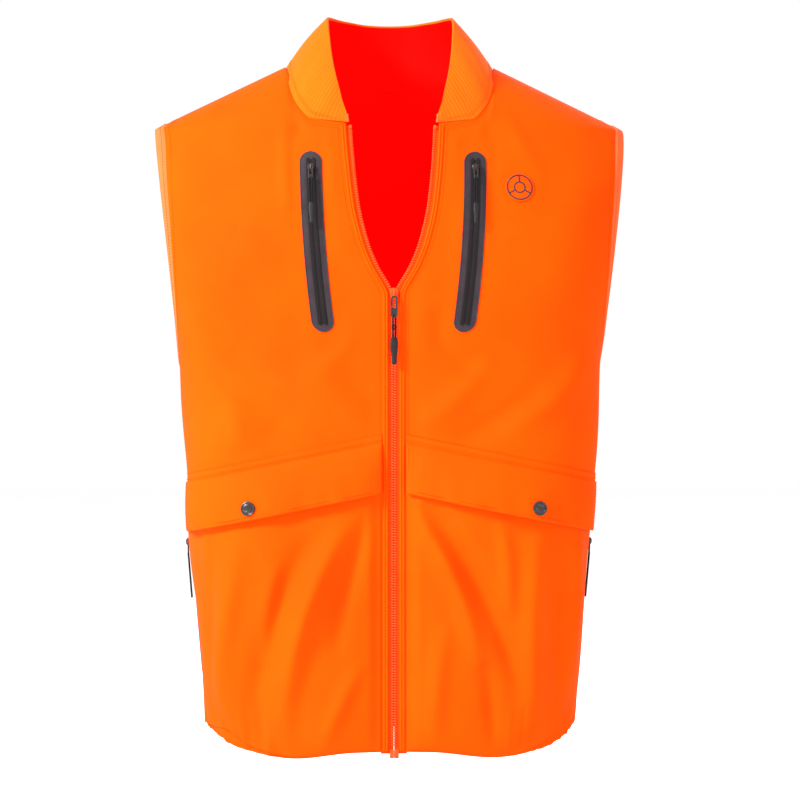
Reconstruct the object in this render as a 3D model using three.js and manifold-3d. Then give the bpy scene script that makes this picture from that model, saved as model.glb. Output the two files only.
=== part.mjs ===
// A sleeveless blaze orange field vest, zipped to the chest and filled out as it is when worn.
// Millimetres, +Z up, front facing -Y, +X at the wearer's left. The origin is the midpoint between
// the two points where the collar meets the shoulder line.
import * as THREE from "three";
import { mergeVertices } from "three/addons/utils/BufferGeometryUtils.js";
import Module from "manifold-3d";

const wasm = await Module();
wasm.setup();

// ---- Driving dimensions -------------------------------------------------------------------------

// Body: half widths, depths in front of and behind the side seams, and how far down each level is
const NECK_HALF = 105;
const SHOULDER_HALF = 241;
const SHOULDER_DROP = 66;
const CHEST_HALF = 215.5;
const WAIST_HALF = 202;
const WAIST_DROP = 487;
const HEM_HALF = 185.5;
const HEM_DROP = 694;
const NECK_FRONT = 50;
const NECK_BACK = 60;
const SHOULDER_FRONT = 87.6;
const YOKE_DROP = 137;
const YOKE_FRONT = 108;
const YOKE_BACK = 98;
const CHEST_DROP = 230;
const CHEST_FRONT = 120;
const CHEST_BACK = 112;
const WAIST_BACK = 99.68;
const HEM_BACK = 103.04;
// How square a level's cross-section is, where 2 is an ellipse, from the neck to the hem
const SQUARENESS = [
  [0, 2], [SHOULDER_DROP, 2], [YOKE_DROP, 2.8], [CHEST_DROP, 3.3], [320, 3.5], [400, 4.2], [480, 4.2],
  [HEM_DROP, 3.2],
];

// Armhole: an ellipse seen from the side, with a bound edge round it
const ARMHOLE_HALF_HEIGHT = 117;
const ARMHOLE_HALF_DEPTH = 62;
const BINDING_WIDTH = 8;
const BINDING_CLEAR = 1.3;
const ARMPIT_DROP = SHOULDER_DROP + 2 * ARMHOLE_HALF_HEIGHT;

// Neck and collar
const NECK_CORNER_X = 46;
const NECK_CORNER_DROP = 66;
const BACK_NECK_DROP = 14;
const COLLAR_TOP = 50;
const COLLAR_TOP_HALF = 63;
const COLLAR_LINING = 1;

// Cloth layers, as offsets from the outer face of the body, outwards positive
const SHELL = 1.8;
const LAYER_GAP = 0.4;
const LINING = 1.2;
const TAPE = 0.9;
const SURFACE_GAP = 0.5;
const PLACKET_PROUD = 0.6;
const SEAM_GAP = 0.4;
const HEM_BAND = 1;
const HEM_BAND_SPAN = [0.4, 0.85];

// Main zip
const SLIDER_DROP = 238;
const V_HALF = 41;
const TAPE_SHOWS = 5.5;
const PLACKET_WIDTH = 5;
const TAPE_WIDTH = 13;
const COIL_WIDTH = 3;
const ZIP_END_CLEAR = 6;
const TOP_STOP_DROP = 70;
const SLIDER_SEAT = -0.5;
const PULL_GAP = 0.4;
const ZIP_BOX = { wide: 10, tall: 9, thick: 4 };
const SLIDER = { wide: 9, tall: 12, thick: 3.6 };
const PULL = { tab: 19, cord: 20, grip: 28, wide: 8, thick: 3.6 };

// Chest zips
const CHEST_ZIP_X = 77;
const CHEST_ZIP_BEND = 5;
const CHEST_ZIP_TOP = 95;
const CHEST_ZIP_LENGTH = 181;
const PATCH_WIDTH = 22.5;
const PATCH_THICK = 0.6;
const CHANNEL_WIDTH = 9;
const CHEST_SLIDER = { wide: 7, tall: 9, thick: 2.6 };
const CHEST_SLIDER_CLEAR = 0.9;
const CHEST_SLIDER_AT = 0.1;
const CHEST_BAG = { inner: 54, outer: 120, top: 118, bottom: 330, thick: 1.5 };
const CHEST_PULL = { tab: 10, cord: 24, grip: 22, wide: 6, thick: 2.8 };

// Flaps, snaps and lower pockets
const FLAP_SEAM_DROP = 385.5;
const FLAP_SLOPE = 0.205;
const FLAP_TALL = 50;
const FLAP_THICK = 1.8;
const FLAP_INNER_X = 12;
const FLAP_END_DEPTH = 66;
const FLAP_HINGE_X = 150;
const MOUTH_BELOW_SEAM = 22;
const POCKET_DEPTH = 8;
const POCKET_MOUTH = 6;
const POCKET_END_DEPTH = 76;
const SNAP_X = 141;
const SNAP_BELOW_SEAM = 38;
const SNAP_RADIUS = 7.3;
const SNAP_CAP = 2.6;
const SNAP_STUD_RADIUS = 5;
const SNAP_STUD = 1.1;
const SNAP_SOCKET = 1;
const SNAP_CLEAR = 0.7;
const SOCKET_CLEAR = 1;
const STUD_CLEAR = 0.35;

// Side zips of the game pouch
const SIDE_ZIP_TOP = 479;
const SIDE_ZIP_LENGTH = 150;
const SIDE_ZIP_LEAN = 18;
const SIDE_TAPE_WIDTH = 12;
const SIDE_COIL_WIDTH = 5;
const SIDE_TAPE = [0.35, 0.95];
const SIDE_COIL = [1.25, 1.75];
const SIDE_SLIDER_AT = 0.06;
const SIDE_SLIDER_CLEAR = 0.85;

const POUCH_DEPTH = 8;

// Chest mark: a small embroidered disc
const MARK_X = 126;
const MARK_DROP = 131;
const MARK_RADIUS = 15;
const MARK_THICK = 1.2;
const MARK_CLEAR = 0.1;

// Hanger loop, hung below the back neck
const LOOP_TOP = 20;
const LOOP_TALL = 6;
const LOOP_THICK = 1.1;

const COLOURS = {
  shell: 0xff6a05, lining: 0xe61400, collar: 0xff8c19, binding: 0xff7d3c, tape: 0xff6420,
  charcoal: 0x4b464f, channel: 0x44323a, snap: 0x504e4b, cord: 0x2b2829, mark: 0x3a3638,
};
const ROUGHNESS = { cloth: 0.85, laminate: 0.55, moulded: 0.45, metal: 0.35 };

const vest = new THREE.Group();

// ---- Curves and the body surface ----------------------------------------------------------------

// A smooth curve through [level, value] points that never swings past them.
function smooth(points) {
  const n = points.length;
  const slope = points.slice(1).map((p, i) => (p[1] - points[i][1]) / (p[0] - points[i][0]));
  const tangent = points.map((_, i) => {
    if (i === 0) return slope[0];
    if (i === n - 1) return slope[n - 2];
    const [a, b] = [slope[i - 1], slope[i]];
    return a * b <= 0 ? 0 : (2 * a * b) / (a + b);
  });
  return (t) => {
    let i = 0;
    while (i < n - 2 && t > points[i + 1][0]) i++;
    const [t0, v0] = points[i];
    const [t1, v1] = points[i + 1];
    const h = t1 - t0;
    const u = (t - t0) / h;
    if (u < 0) return v0 + slope[0] * (t - t0);
    if (u > 1) return v1 + slope[n - 2] * (t - t1);
    const [uu, uuu] = [u * u, u * u * u];
    return (
      (2 * uuu - 3 * uu + 1) * v0 + (uuu - 2 * uu + u) * h * tangent[i] +
      (3 * uu - 2 * uuu) * v1 + (uuu - uu) * h * tangent[i + 1]
    );
  };
}

const mix = (a, b, t) => a + (b - a) * t;
const clamp01 = (t) => Math.min(1, Math.max(0, t));

const outline = smooth([
  [SHOULDER_DROP, SHOULDER_HALF], [ARMPIT_DROP, CHEST_HALF],
  [WAIST_DROP, WAIST_HALF], [HEM_DROP, HEM_HALF],
]);
const frontDepth = smooth([
  [0, NECK_FRONT], [SHOULDER_DROP, SHOULDER_FRONT], [YOKE_DROP, YOKE_FRONT],
  [CHEST_DROP, CHEST_FRONT], [HEM_DROP, CHEST_FRONT],
]);
const backDepth = smooth([
  [0, NECK_BACK], [YOKE_DROP, YOKE_BACK], [CHEST_DROP, CHEST_BACK],
  [WAIST_DROP, WAIST_BACK], [HEM_DROP, HEM_BACK],
]);
const squareness = smooth(SQUARENESS);

const armholeMiddle = SHOULDER_DROP + ARMHOLE_HALF_HEIGHT;
const ellipseDepth = (drop, halfHeight, halfDepth) => {
  const r = (drop - armholeMiddle) / halfHeight;
  return Math.abs(r) >= 1 ? 0 : halfDepth * Math.sqrt(1 - r * r);
};

// Half width of the body at a level. Beside the armhole it is the width of the missing side, so
// that the armhole's edge lies on the outline.
function halfWidth(drop) {
  if (drop < SHOULDER_DROP) return NECK_HALF + ((SHOULDER_HALF - NECK_HALF) * drop) / SHOULDER_DROP;
  const opening = ellipseDepth(drop, ARMHOLE_HALF_HEIGHT, ARMHOLE_HALF_DEPTH) / frontDepth(drop);
  const n = squareness(drop);
  return outline(drop) / Math.pow(1 - Math.pow(opening, n), 1 / n);
}

// Distance in front of or behind the side seams at x, and the half width at a depth.
const depthAt = (x, drop, depth) => {
  const n = squareness(drop);
  const r = Math.min(1, Math.abs(x) / halfWidth(drop));
  return depth(drop) * Math.pow(1 - Math.pow(r, n), 1 / n);
};
const widthAt = (y, drop, depth) => {
  const n = squareness(drop);
  const r = Math.min(1, Math.abs(y) / depth(drop));
  return halfWidth(drop) * Math.pow(1 - Math.pow(r, n), 1 / n);
};

function bodyNormal(x, y, drop) {
  const depth = y > 0 ? backDepth : frontDepth;
  const level = (d) => {
    const n = squareness(d);
    return Math.pow(Math.abs(x) / halfWidth(d), n) + Math.pow(Math.abs(y) / depth(d), n);
  };
  const n = squareness(drop);
  const [a, b] = [halfWidth(drop), depth(drop)];
  const step = 0.5;
  return new THREE.Vector3(
    (Math.sign(x) * n * Math.pow(Math.abs(x) / a, n - 1)) / a,
    (Math.sign(y) * n * Math.pow(Math.abs(y) / b, n - 1)) / b,
    -(level(drop + step) - level(drop - step)) / (2 * step),
  ).normalize();
}

const onFront = (x, drop) => new THREE.Vector3(x, -depthAt(x, drop, frontDepth), -drop);
const onBack = (x, drop) => new THREE.Vector3(x, depthAt(x, drop, backDepth), -drop);
const onSide = (side, y, drop) =>
  new THREE.Vector3(side * widthAt(y, drop, y > 0 ? backDepth : frontDepth), y, -drop);
const normalAt = (p) => bodyNormal(p.x, p.y, -p.z);

const angleAt = (x, drop, depth) => Math.atan2(x, depthAt(x, drop, depth));

// The x at an angle round a level from the front or back centre.
function xAtAngle(angle, drop, depth) {
  const n = squareness(drop);
  const sideways = Math.pow(Math.abs(Math.sin(angle)) / halfWidth(drop), n);
  const inverse = Math.pow(sideways + Math.pow(Math.cos(angle) / depth(drop), n), 1 / n);
  return Math.sin(angle) / inverse;
}

// The x of a point a share of the way round from one x to another at a level.
const xByAngle = (fromX, toX, share, drop, depth) =>
  xAtAngle(mix(angleAt(fromX, drop, depth), angleAt(toX, drop, depth), share), drop, depth);

// The same towards an outer edge short of the side seam: only the outermost columns crowd up to it.
const CROWDING = 4;
function xToEdge(fromX, toX, share, drop, depth) {
  const quarter = Math.PI / 2;
  const missing = quarter - angleAt(toX, drop, depth);
  const angle = mix(angleAt(fromX, drop, depth), quarter, share) - missing * share ** CROWDING;
  return xAtAngle(angle, drop, depth);
}

// ---- Solids -------------------------------------------------------------------------------------

// A closed sheet from a grid of {p, n, lo, hi}: its faces lie at offsets lo and hi along n.
function sheet(grid, wrap = false) {
  const [rows, cols] = [grid.length, grid[0].length];
  const positions = [];
  for (const face of ["hi", "lo"])
    for (const row of grid)
      for (const { p, n, [face]: d } of row)
        positions.push(p.x + n.x * d, p.y + n.y * d, p.z + n.z * d);
  const at = (layer, i, j) => layer * rows * cols + i * cols + (j % cols);
  const faces = [];
  const quad = (a, b, c, d) => faces.push(a, b, c, a, c, d);
  const spans = wrap ? cols : cols - 1;
  for (let i = 0; i < rows - 1; i++)
    for (let j = 0; j < spans; j++) {
      quad(at(0, i, j), at(0, i, j + 1), at(0, i + 1, j + 1), at(0, i + 1, j));
      quad(at(1, i, j), at(1, i + 1, j), at(1, i + 1, j + 1), at(1, i, j + 1));
    }
  for (let j = 0; j < spans; j++) {
    quad(at(0, 0, j + 1), at(0, 0, j), at(1, 0, j), at(1, 0, j + 1));
    quad(at(0, rows - 1, j), at(0, rows - 1, j + 1), at(1, rows - 1, j + 1), at(1, rows - 1, j));
  }
  if (!wrap)
    for (let i = 0; i < rows - 1; i++) {
      quad(at(0, i, 0), at(0, i + 1, 0), at(1, i + 1, 0), at(1, i, 0));
      quad(at(0, i + 1, cols - 1), at(0, i, cols - 1), at(1, i, cols - 1), at(1, i + 1, cols - 1));
    }
  const geometry = new THREE.BufferGeometry();
  geometry.setAttribute("position", new THREE.Float32BufferAttribute(positions, 3));
  geometry.setIndex(faces);
  return facingOut(geometry);
}

function facingOut(geometry) {
  const [v, f] = [geometry.attributes.position, geometry.index.array];
  const [a, b, c] = [new THREE.Vector3(), new THREE.Vector3(), new THREE.Vector3()];
  let volume = 0;
  for (let i = 0; i < f.length; i += 3) {
    a.fromBufferAttribute(v, f[i]);
    b.fromBufferAttribute(v, f[i + 1]);
    c.fromBufferAttribute(v, f[i + 2]);
    volume += a.dot(b.cross(c));
  }
  if (volume < 0) for (let i = 0; i < f.length; i += 3) [f[i + 1], f[i + 2]] = [f[i + 2], f[i + 1]];
  return geometry;
}

const range = (count) => Array.from({ length: count + 1 }, (_, i) => i / count);

// Grid of a patch of cloth: place(u, v) gives the point, offsets(u, v) the two faces.
const patch = (us, vs, place, offsets) =>
  vs.map((v) =>
    us.map((u) => {
      const p = place(u, v);
      const [lo, hi] = offsets(u, v);
      return { p, n: normalAt(p), lo, hi };
    }),
  );

// Joins closed geometries into one body.
function join(...geometries) {
  const solid = geometries
    .map((g) => {
      const bare = g.clone();
      for (const name of ["normal", "uv"]) bare.deleteAttribute(name);
      const merged = mergeVertices(bare.index ? bare.toNonIndexed() : bare, 1e-4);
      return new wasm.Manifold(new wasm.Mesh({
        numProp: 3,
        vertProperties: merged.attributes.position.array,
        triVerts: new Uint32Array(merged.index.array),
      }));
    })
    .reduce((a, b) => a.add(b));
  const mesh = solid.getMesh();
  const geometry = new THREE.BufferGeometry();
  geometry.setAttribute("position", new THREE.BufferAttribute(mesh.vertProperties, 3));
  geometry.setIndex(new THREE.BufferAttribute(mesh.triVerts, 1));
  return geometry;
}

function add(name, geometry, color, roughness = ROUGHNESS.cloth, metalness = 0, parent = vest) {
  const mesh = new THREE.Mesh(geometry, new THREE.MeshStandardMaterial({ color, roughness, metalness }));
  mesh.name = name;
  parent.add(mesh);
  return mesh;
}

// A group whose +Y points into the cloth at p, with +Z up the cloth: hardware is built in it.
function frameOn(p, up = new THREE.Vector3(0, 0, 1)) {
  const inward = normalAt(p).negate();
  const z = up.clone().addScaledVector(inward, -up.dot(inward)).normalize();
  const x = new THREE.Vector3().crossVectors(inward, z);
  const group = new THREE.Group();
  group.matrix.makeBasis(x, inward, z).setPosition(p);
  group.matrix.decompose(group.position, group.quaternion, group.scale);
  vest.add(group);
  return group;
}

// A plate in a frame: a rounded outline in x and z, from near to far in front of the cloth.
function plate(wide, tall, near, far, { round = wide / 4, x = 0, z = 0 } = {}) {
  const [w, h] = [wide / 2, tall / 2];
  const r = Math.min(round, w - 0.01, h - 0.01);
  const shape = new THREE.Shape();
  shape.absarc(w - r, h - r, r, 0, Math.PI / 2);
  shape.absarc(-w + r, h - r, r, Math.PI / 2, Math.PI);
  shape.absarc(-w + r, -h + r, r, Math.PI, 1.5 * Math.PI);
  shape.absarc(w - r, -h + r, r, 1.5 * Math.PI, 2 * Math.PI);
  const settings = { depth: far - near, bevelEnabled: false, curveSegments: 2 };
  const geometry = new THREE.ExtrudeGeometry(shape, settings);
  return geometry.rotateX(Math.PI / 2).translate(x, -near, z);
}

// A disc standing on the cloth, turned from a profile of [radius, height] points.
function turned(profile, near) {
  const points = profile.map(([r, h]) => new THREE.Vector2(r, h));
  return new THREE.LatheGeometry(points, 16).rotateX(Math.PI).translate(0, -near, 0);
}

// The same for a plain disc.
const disc = (radius, tall, near) => turned([[0, 0], [radius, 0], [radius, tall], [0, tall]], near);

// ---- Shape of the panels ------------------------------------------------------------------------

// Half the gap between the two zip halves at a level, and the front panel's front edge.
const vOpening = smooth([
  [NECK_CORNER_DROP, V_HALF], [85, 0.975 * V_HALF], [145, 0.83 * V_HALF], [185, 0.61 * V_HALF],
  [210, 0.37 * V_HALF], [SLIDER_DROP - SLIDER.tall / 2, 2.5], [SLIDER_DROP, 0],
]);
const opening = (drop) => (drop >= SLIDER_DROP ? 0 : Math.max(0, vOpening(drop)));
const frontEdge = (drop) => opening(drop) + TAPE_SHOWS;

// The seam ring where the armhole binding meets the panels.
const RING_HALF_HEIGHT = ARMHOLE_HALF_HEIGHT + BINDING_WIDTH;
const RING_HALF_DEPTH = ARMHOLE_HALF_DEPTH + BINDING_WIDTH;
const RING_TOP = armholeMiddle - RING_HALF_HEIGHT;
const RING_BOTTOM = armholeMiddle + RING_HALF_HEIGHT;
const outerEdge = (drop, depth) =>
  widthAt(
    (ellipseDepth(drop, RING_HALF_HEIGHT, RING_HALF_DEPTH) * depth(drop)) / frontDepth(drop) || 0.01,
    drop, depth,
  );

// Top edge of the front and back panels over x: the neckline, then the shoulder line.
const shoulderDrop = (x) => ((Math.abs(x) - NECK_HALF) / (SHOULDER_HALF - NECK_HALF)) * SHOULDER_DROP;
const frontNeck = smooth([
  [NECK_CORNER_X, NECK_CORNER_DROP], [82, 60], [92, 49], [99, 35], [103, 17], [NECK_HALF, 1.5],
]);
const backNeck = (x) => 1.5 + (BACK_NECK_DROP - 1.5) * (1 - (x / NECK_HALF) ** 2);
const topDrop = (x, neck) =>
  Math.abs(x) < NECK_HALF ? neck(Math.abs(x)) : Math.max(1.5, shoulderDrop(x));

// The hem is highest at the side seams, and dips either side of the zip.
const hemDrop = smooth([
  [0, HEM_DROP - 3], [40, HEM_DROP - 2], [100, HEM_DROP + 4], [150, HEM_DROP - 3],
  [HEM_HALF, HEM_DROP - 22],
]);

const YOKE_LEVEL = 150;
const TOP_HALF = halfWidth(RING_TOP) - 1;
const EASE_ROWS = 7;

// Columns are set by where they reach the top edge, closest together at the neck point.
const SHOULDER_COLUMNS = [NECK_HALF, 122, 145, 170, 195, TOP_HALF - 6, TOP_HALF];
const FRONT_COLUMNS = [frontEdge(NECK_CORNER_DROP), 60, 72, 84, 93, 100, ...SHOULDER_COLUMNS];
const frontShares = FRONT_COLUMNS.map((x) => (x - FRONT_COLUMNS[0]) / (TOP_HALF - FRONT_COLUMNS[0]));
const LOWER_LEVELS = [
  175, 200, 220, 232, 245, 265, 285, 297, 304, 309, 350, 390, 430, 480,
  HEM_DROP - 154, HEM_DROP - 94, HEM_DROP - 39,
];

// A point of a panel: share across it, and its row. Upper rows fan up to the top edge, lower rows
// are level, and the last one is the hem.
function panelPoint(share, row, { inner, depth, neck, on }) {
  if (row < EASE_ROWS) {
    const up = 1 - (row / EASE_ROWS) ** 2;
    const outerDrop = mix(YOKE_LEVEL, RING_TOP + 0.6, up);
    const topX = mix(inner(NECK_CORNER_DROP), TOP_HALF, share);
    const drop = mix(YOKE_LEVEL, topDrop(topX, neck), up);
    const innerDrop = mix(YOKE_LEVEL, topDrop(inner(NECK_CORNER_DROP), neck), up);
    return on(mix(inner(innerDrop), outerEdge(outerDrop, depth), share), drop);
  }
  const index = row - EASE_ROWS;
  const levels = [YOKE_LEVEL, ...LOWER_LEVELS];
  const level = index < levels.length ? levels[index] : HEM_DROP;
  const byAngle = clamp01((level - YOKE_LEVEL) / 150);
  const across = (d) =>
    mix(
      mix(inner(d), outerEdge(d, depth), share),
      xToEdge(inner(d), outerEdge(d, depth), share, d, depth),
      byAngle,
    );
  const drop = index < levels.length ? level : hemDrop(across(level));
  return on(across(drop), drop);
}

// The pouch starts a few rows below the armpit, where the flaps' seams are at the front.
const POUCH_TOP_ROW = EASE_ROWS + 13;
const ALL_ROWS = Array.from({ length: EASE_ROWS + LOWER_LEVELS.length + 2 }, (_, i) => i);
const shellOffsets = () => [-SHELL, 0];

function panelGrid(side, shares, rows, shape, offsets) {
  return rows.map((row) =>
    shares.map((share) => {
      const p = panelPoint(share, row, shape);
      p.x *= side;
      p.y = Math.min(p.y, 0);
      const [lo, hi] = offsets(share, row);
      return { p, n: normalAt(p), lo, hi };
    }),
  );
}

const FRONT = { inner: frontEdge, depth: frontDepth, neck: frontNeck, on: onFront };
const BACK = { inner: () => 0, depth: backDepth, neck: backNeck, on: onBack };

const SIDES = [["left", 1], ["right", -1]];

function frontPanels() {
  for (const [name, side] of SIDES) {
    const grid = panelGrid(side, frontShares, ALL_ROWS, FRONT, shellOffsets);
    add(`${name}_front_panel`, sheet(grid), COLOURS.shell);
  }
}

// The back is one piece: its grid runs from one side seam through the centre to the other.
const BACK_COLUMNS = [0, 22, 44, 66, 84, 97, ...SHOULDER_COLUMNS];
const backShares = BACK_COLUMNS.map((x) => x / TOP_HALF);

// Back panels stop a seam gap short of the shoulder and side seams.
const backPoint = (share, row) => {
  const p = panelPoint(Math.abs(share), row, BACK);
  p.x *= Math.sign(share) || 1;
  p.y = Math.max(p.y, SEAM_GAP);
  return p;
};

const mirrored = (half) => [...half.slice(1).reverse().map((s) => -s), ...half];
const onPanel = (p, [lo, hi]) => ({ p, n: normalAt(p), lo, hi });

function backPanel() {
  const grid = ALL_ROWS.map((row) =>
    mirrored(backShares).map((share) => onPanel(backPoint(share, row), shellOffsets())),
  );
  add("back_panel", sheet(grid), COLOURS.shell);
}

// ---- Main zip -----------------------------------------------------------------------------------

// The zip keeps to the panels' own levels, with a few more where the opening closes.
const EASE_LEVELS = range(EASE_ROWS).slice(2).map((t) => mix(YOKE_LEVEL, NECK_CORNER_DROP, 1 - t * t));
const ZIP_LEVELS = [
  NECK_CORNER_DROP + 1, ...EASE_LEVELS, ...LOWER_LEVELS,
  SLIDER_DROP - 9, SLIDER_DROP - 4, SLIDER_DROP, HEM_DROP - ZIP_END_CLEAR,
].sort((a, b) => a - b);

// A strip beside the zip opening, between two distances from the opening's edge.
const zipStrip = (side, [from, to], [lo, hi]) => {
  const place = (x, drop) => onFront(side * (opening(drop) + x), drop);
  return sheet(patch([from, to], ZIP_LEVELS, place, () => [lo, hi]));
};

function zipHalf(name, side) {
  const top = -SHELL - LAYER_GAP;
  const tape = zipStrip(side, [COIL_WIDTH + LAYER_GAP, TAPE_WIDTH], [top - TAPE, top]);
  add(`${name}_zip_tape`, tape, COLOURS.tape);
  const coil = zipStrip(side, [0.25, COIL_WIDTH], [top - TAPE, -SHELL / 2]);
  add(`${name}_zip_coil`, coil, COLOURS.tape, ROUGHNESS.moulded);
  const ridge = [TAPE_SHOWS + 0.1, TAPE_SHOWS + PLACKET_WIDTH];
  const placket = zipStrip(side, ridge, [SURFACE_GAP, SURFACE_GAP + PLACKET_PROUD]);
  add(`${name}_zip_placket`, placket, COLOURS.shell);
  const stopX = opening(TOP_STOP_DROP) + COIL_WIDTH / 2;
  const stop = frameOn(onFront(side * stopX, TOP_STOP_DROP));
  add(`${name}_top_stop`, plate(COIL_WIDTH, 4, -0.5, 1), COLOURS.tape, ROUGHNESS.moulded, 0, stop);
}

// At the hem the pin on one tape stands in the box on the other.
function zipFoot() {
  const { wide, tall, thick } = ZIP_BOX;
  const foot = frameOn(onFront(0.001, HEM_DROP - ZIP_END_CLEAR + tall / 2 + LAYER_GAP));
  const boxPlate = plate(wide / 2 - 0.6, tall, -thick / 2, thick / 2, { round: 1, x: wide / 4 + 0.1 });
  add("zip_retainer_box", boxPlate, COLOURS.tape, ROUGHNESS.moulded, 0, foot);
  const pinPlate = plate(wide / 2 - 1.6, tall, -thick / 3, thick / 3, { round: 1, x: -wide / 4 });
  add("zip_insertion_pin", pinPlate, COLOURS.tape, ROUGHNESS.moulded, 0, foot);
}

function mainZip() {
  for (const [name, side] of SIDES) zipHalf(name, side);
  zipFoot();
}

// A slider: a rounded body with the bridge that carries its pull, standing near off the zip.
function slider(name, frame, { wide, tall, thick }, near, color) {
  const body = plate(wide, tall, near, near + thick, { round: wide * 0.4 });
  const bridge = plate(wide * 0.3, tall * 0.6, near + thick - 0.2, near + thick + 1.2, { round: 1 });
  add(name, join(body, bridge), color, ROUGHNESS.metal, 0.3, frame);
}

// A pull hangs from its slider: a tab, a cord loop and a moulded grip, with a gap between, or
// overlapping where the gap is negative.
function pullPieces({ tab, cord, grip, wide, thick }, onSlider, near, gap) {
  const top = -0.3 * onSlider.tall - PULL_GAP;
  const middle = near + thick / 2;
  const cordThick = 1.8;
  const span = (t) => [middle - t / 2, middle + t / 2];
  const tabPlate = plate(0.75 * wide, tab - gap, ...span(0.5 * thick), { z: top - tab / 2 });
  const cordTop = top - tab;
  const strand = (x) => plate(cordThick, cord - gap, ...span(cordThick), { x, z: cordTop - cord / 2 });
  const knot = plate(3.2, 2, ...span(cordThick), { round: 0.6, z: cordTop - 1.2 });
  const gripZ = cordTop - cord - grip / 2;
  const gripPlate = plate(wide, grip - gap, ...span(thick), { round: wide / 2 - 0.1, z: gripZ });
  return [tabPlate, join(strand(-1.1), strand(1.1), knot), gripPlate];
}

// A small pull is one moulding, so its pieces run into each other.
function smallPull(name, frame, near) {
  const pieces = pullPieces(CHEST_PULL, CHEST_SLIDER, near, -0.6);
  add(name, join(...pieces), COLOURS.cord, ROUGHNESS.moulded, 0, frame);
}

function mainSlider() {
  const frame = frameOn(onFront(0.001, SLIDER_DROP));
  slider("main_slider", frame, SLIDER, SLIDER_SEAT, COLOURS.tape);
  const [tab, cord, grip] = pullPieces(PULL, SLIDER, SLIDER_SEAT + SLIDER.thick + PULL_GAP, 0.3);
  add("main_pull_tab", tab, COLOURS.cord, ROUGHNESS.metal, 0.2, frame);
  add("main_pull_cord", cord, COLOURS.cord, ROUGHNESS.cloth, 0, frame);
  add("main_pull_grip", grip, COLOURS.snap, ROUGHNESS.moulded, 0, frame);
}

// ---- Collar -------------------------------------------------------------------------------------

// Half of the neck seam and of the collar's top edge, from the front corner to the centre back.
function collarCurves(side) {
  const seam = [];
  for (const x of [44.5, 56, 70, 82, 91, 97.5, 102])
    seam.push(onFront(side * x, frontNeck(Math.max(x, NECK_CORNER_X)) - 1.2));
  seam.push(new THREE.Vector3(side * (NECK_HALF - 1), 0, 0));
  for (const x of [98, 86, 70, 52, 34, 17]) seam.push(onBack(side * x, backNeck(x) - 1.2));
  seam.push(onBack(side * 0.001, BACK_NECK_DROP - 1.2));
  const h = COLLAR_TOP_HALF;
  const top = [
    [0.72 * h, -84, -57], [0.79 * h, -79, -44], [0.84 * h, -73, -30], [0.9 * h, -66, -14],
    [0.95 * h, -58, 4], [0.98 * h, -48, 22], [h, -36, 38], [h, -22, COLLAR_TOP - 3],
    [0.97 * h, -4, COLLAR_TOP],
    [0.9 * h, 16, COLLAR_TOP + 1.5], [0.78 * h, 32, COLLAR_TOP + 1.5], [0.6 * h, 45, COLLAR_TOP + 1],
    [0.4 * h, 54, COLLAR_TOP], [0.2 * h, 58, COLLAR_TOP - 0.5], [0, 60, COLLAR_TOP - 0.5],
  ].map(([x, y, z]) => new THREE.Vector3(side * x, y, z));
  return [seam, top];
}

// Rows of the collar from seam to top edge, with normals square to its own surface.
function collarGrid(heights, lo, hi) {
  const [seamL, topL] = collarCurves(1);
  const [seamR, topR] = collarCurves(-1);
  const seam = [...seamL, ...seamR.slice(0, -1).reverse()];
  const top = [...topL, ...topR.slice(0, -1).reverse()];
  const rows = heights.map((h) =>
    seam.map((p, i) => {
      const bulge = Math.sin(Math.PI * h) * 0.04 * p.distanceTo(top[i]);
      const q = p.clone().lerp(top[i], h);
      const out = new THREE.Vector3(q.x, q.y + 10, 0).normalize();
      return q.addScaledVector(out, bulge);
    }),
  );
  return rows.map((row, i) =>
    row.map((p, j) => {
      const along = row[Math.min(j + 1, row.length - 1)].clone().sub(row[Math.max(j - 1, 0)]);
      const up = rows[Math.min(i + 1, rows.length - 1)][j].clone().sub(rows[Math.max(i - 1, 0)][j]);
      const n = along.cross(up).normalize();
      if (n.x * p.x + n.y * (p.y + 10) < 0) n.negate();
      return { p, n, lo, hi };
    }),
  );
}

function collar() {
  const half = SHELL / 2;
  const liningTop = -half - LAYER_GAP;
  const lining = collarGrid([0.02, 0.25, 0.5, 0.75, 0.98], liningTop - COLLAR_LINING, liningTop);
  add("collar_shell", sheet(collarGrid([0, 0.25, 0.5, 0.75, 1], -half, half)), COLOURS.collar);
  add("collar_lining", sheet(lining), COLOURS.lining);
}

// ---- Lining, binding, hem -----------------------------------------------------------------------

const LINING_TOP = -SHELL - LAYER_GAP;
const liningOffsets = () => [LINING_TOP - LINING, LINING_TOP];

// The lining follows the panels' own grid, a column and a few rows short of their edges.
function lining() {
  const rows = ALL_ROWS.slice(2, -2);
  const inner = frontShares.slice(1, -1);
  for (const [name, side] of SIDES) {
    const grid = panelGrid(side, inner, rows, FRONT, liningOffsets);
    add(`${name}_front_lining`, sheet(grid), COLOURS.lining);
  }
  const half = backShares.slice(0, -1);
  const grid = rows.map((row) =>
    mirrored(half).map((share) => onPanel(backPoint(share, row), liningOffsets())),
  );
  add("back_lining", sheet(grid), COLOURS.lining);
}

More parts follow.
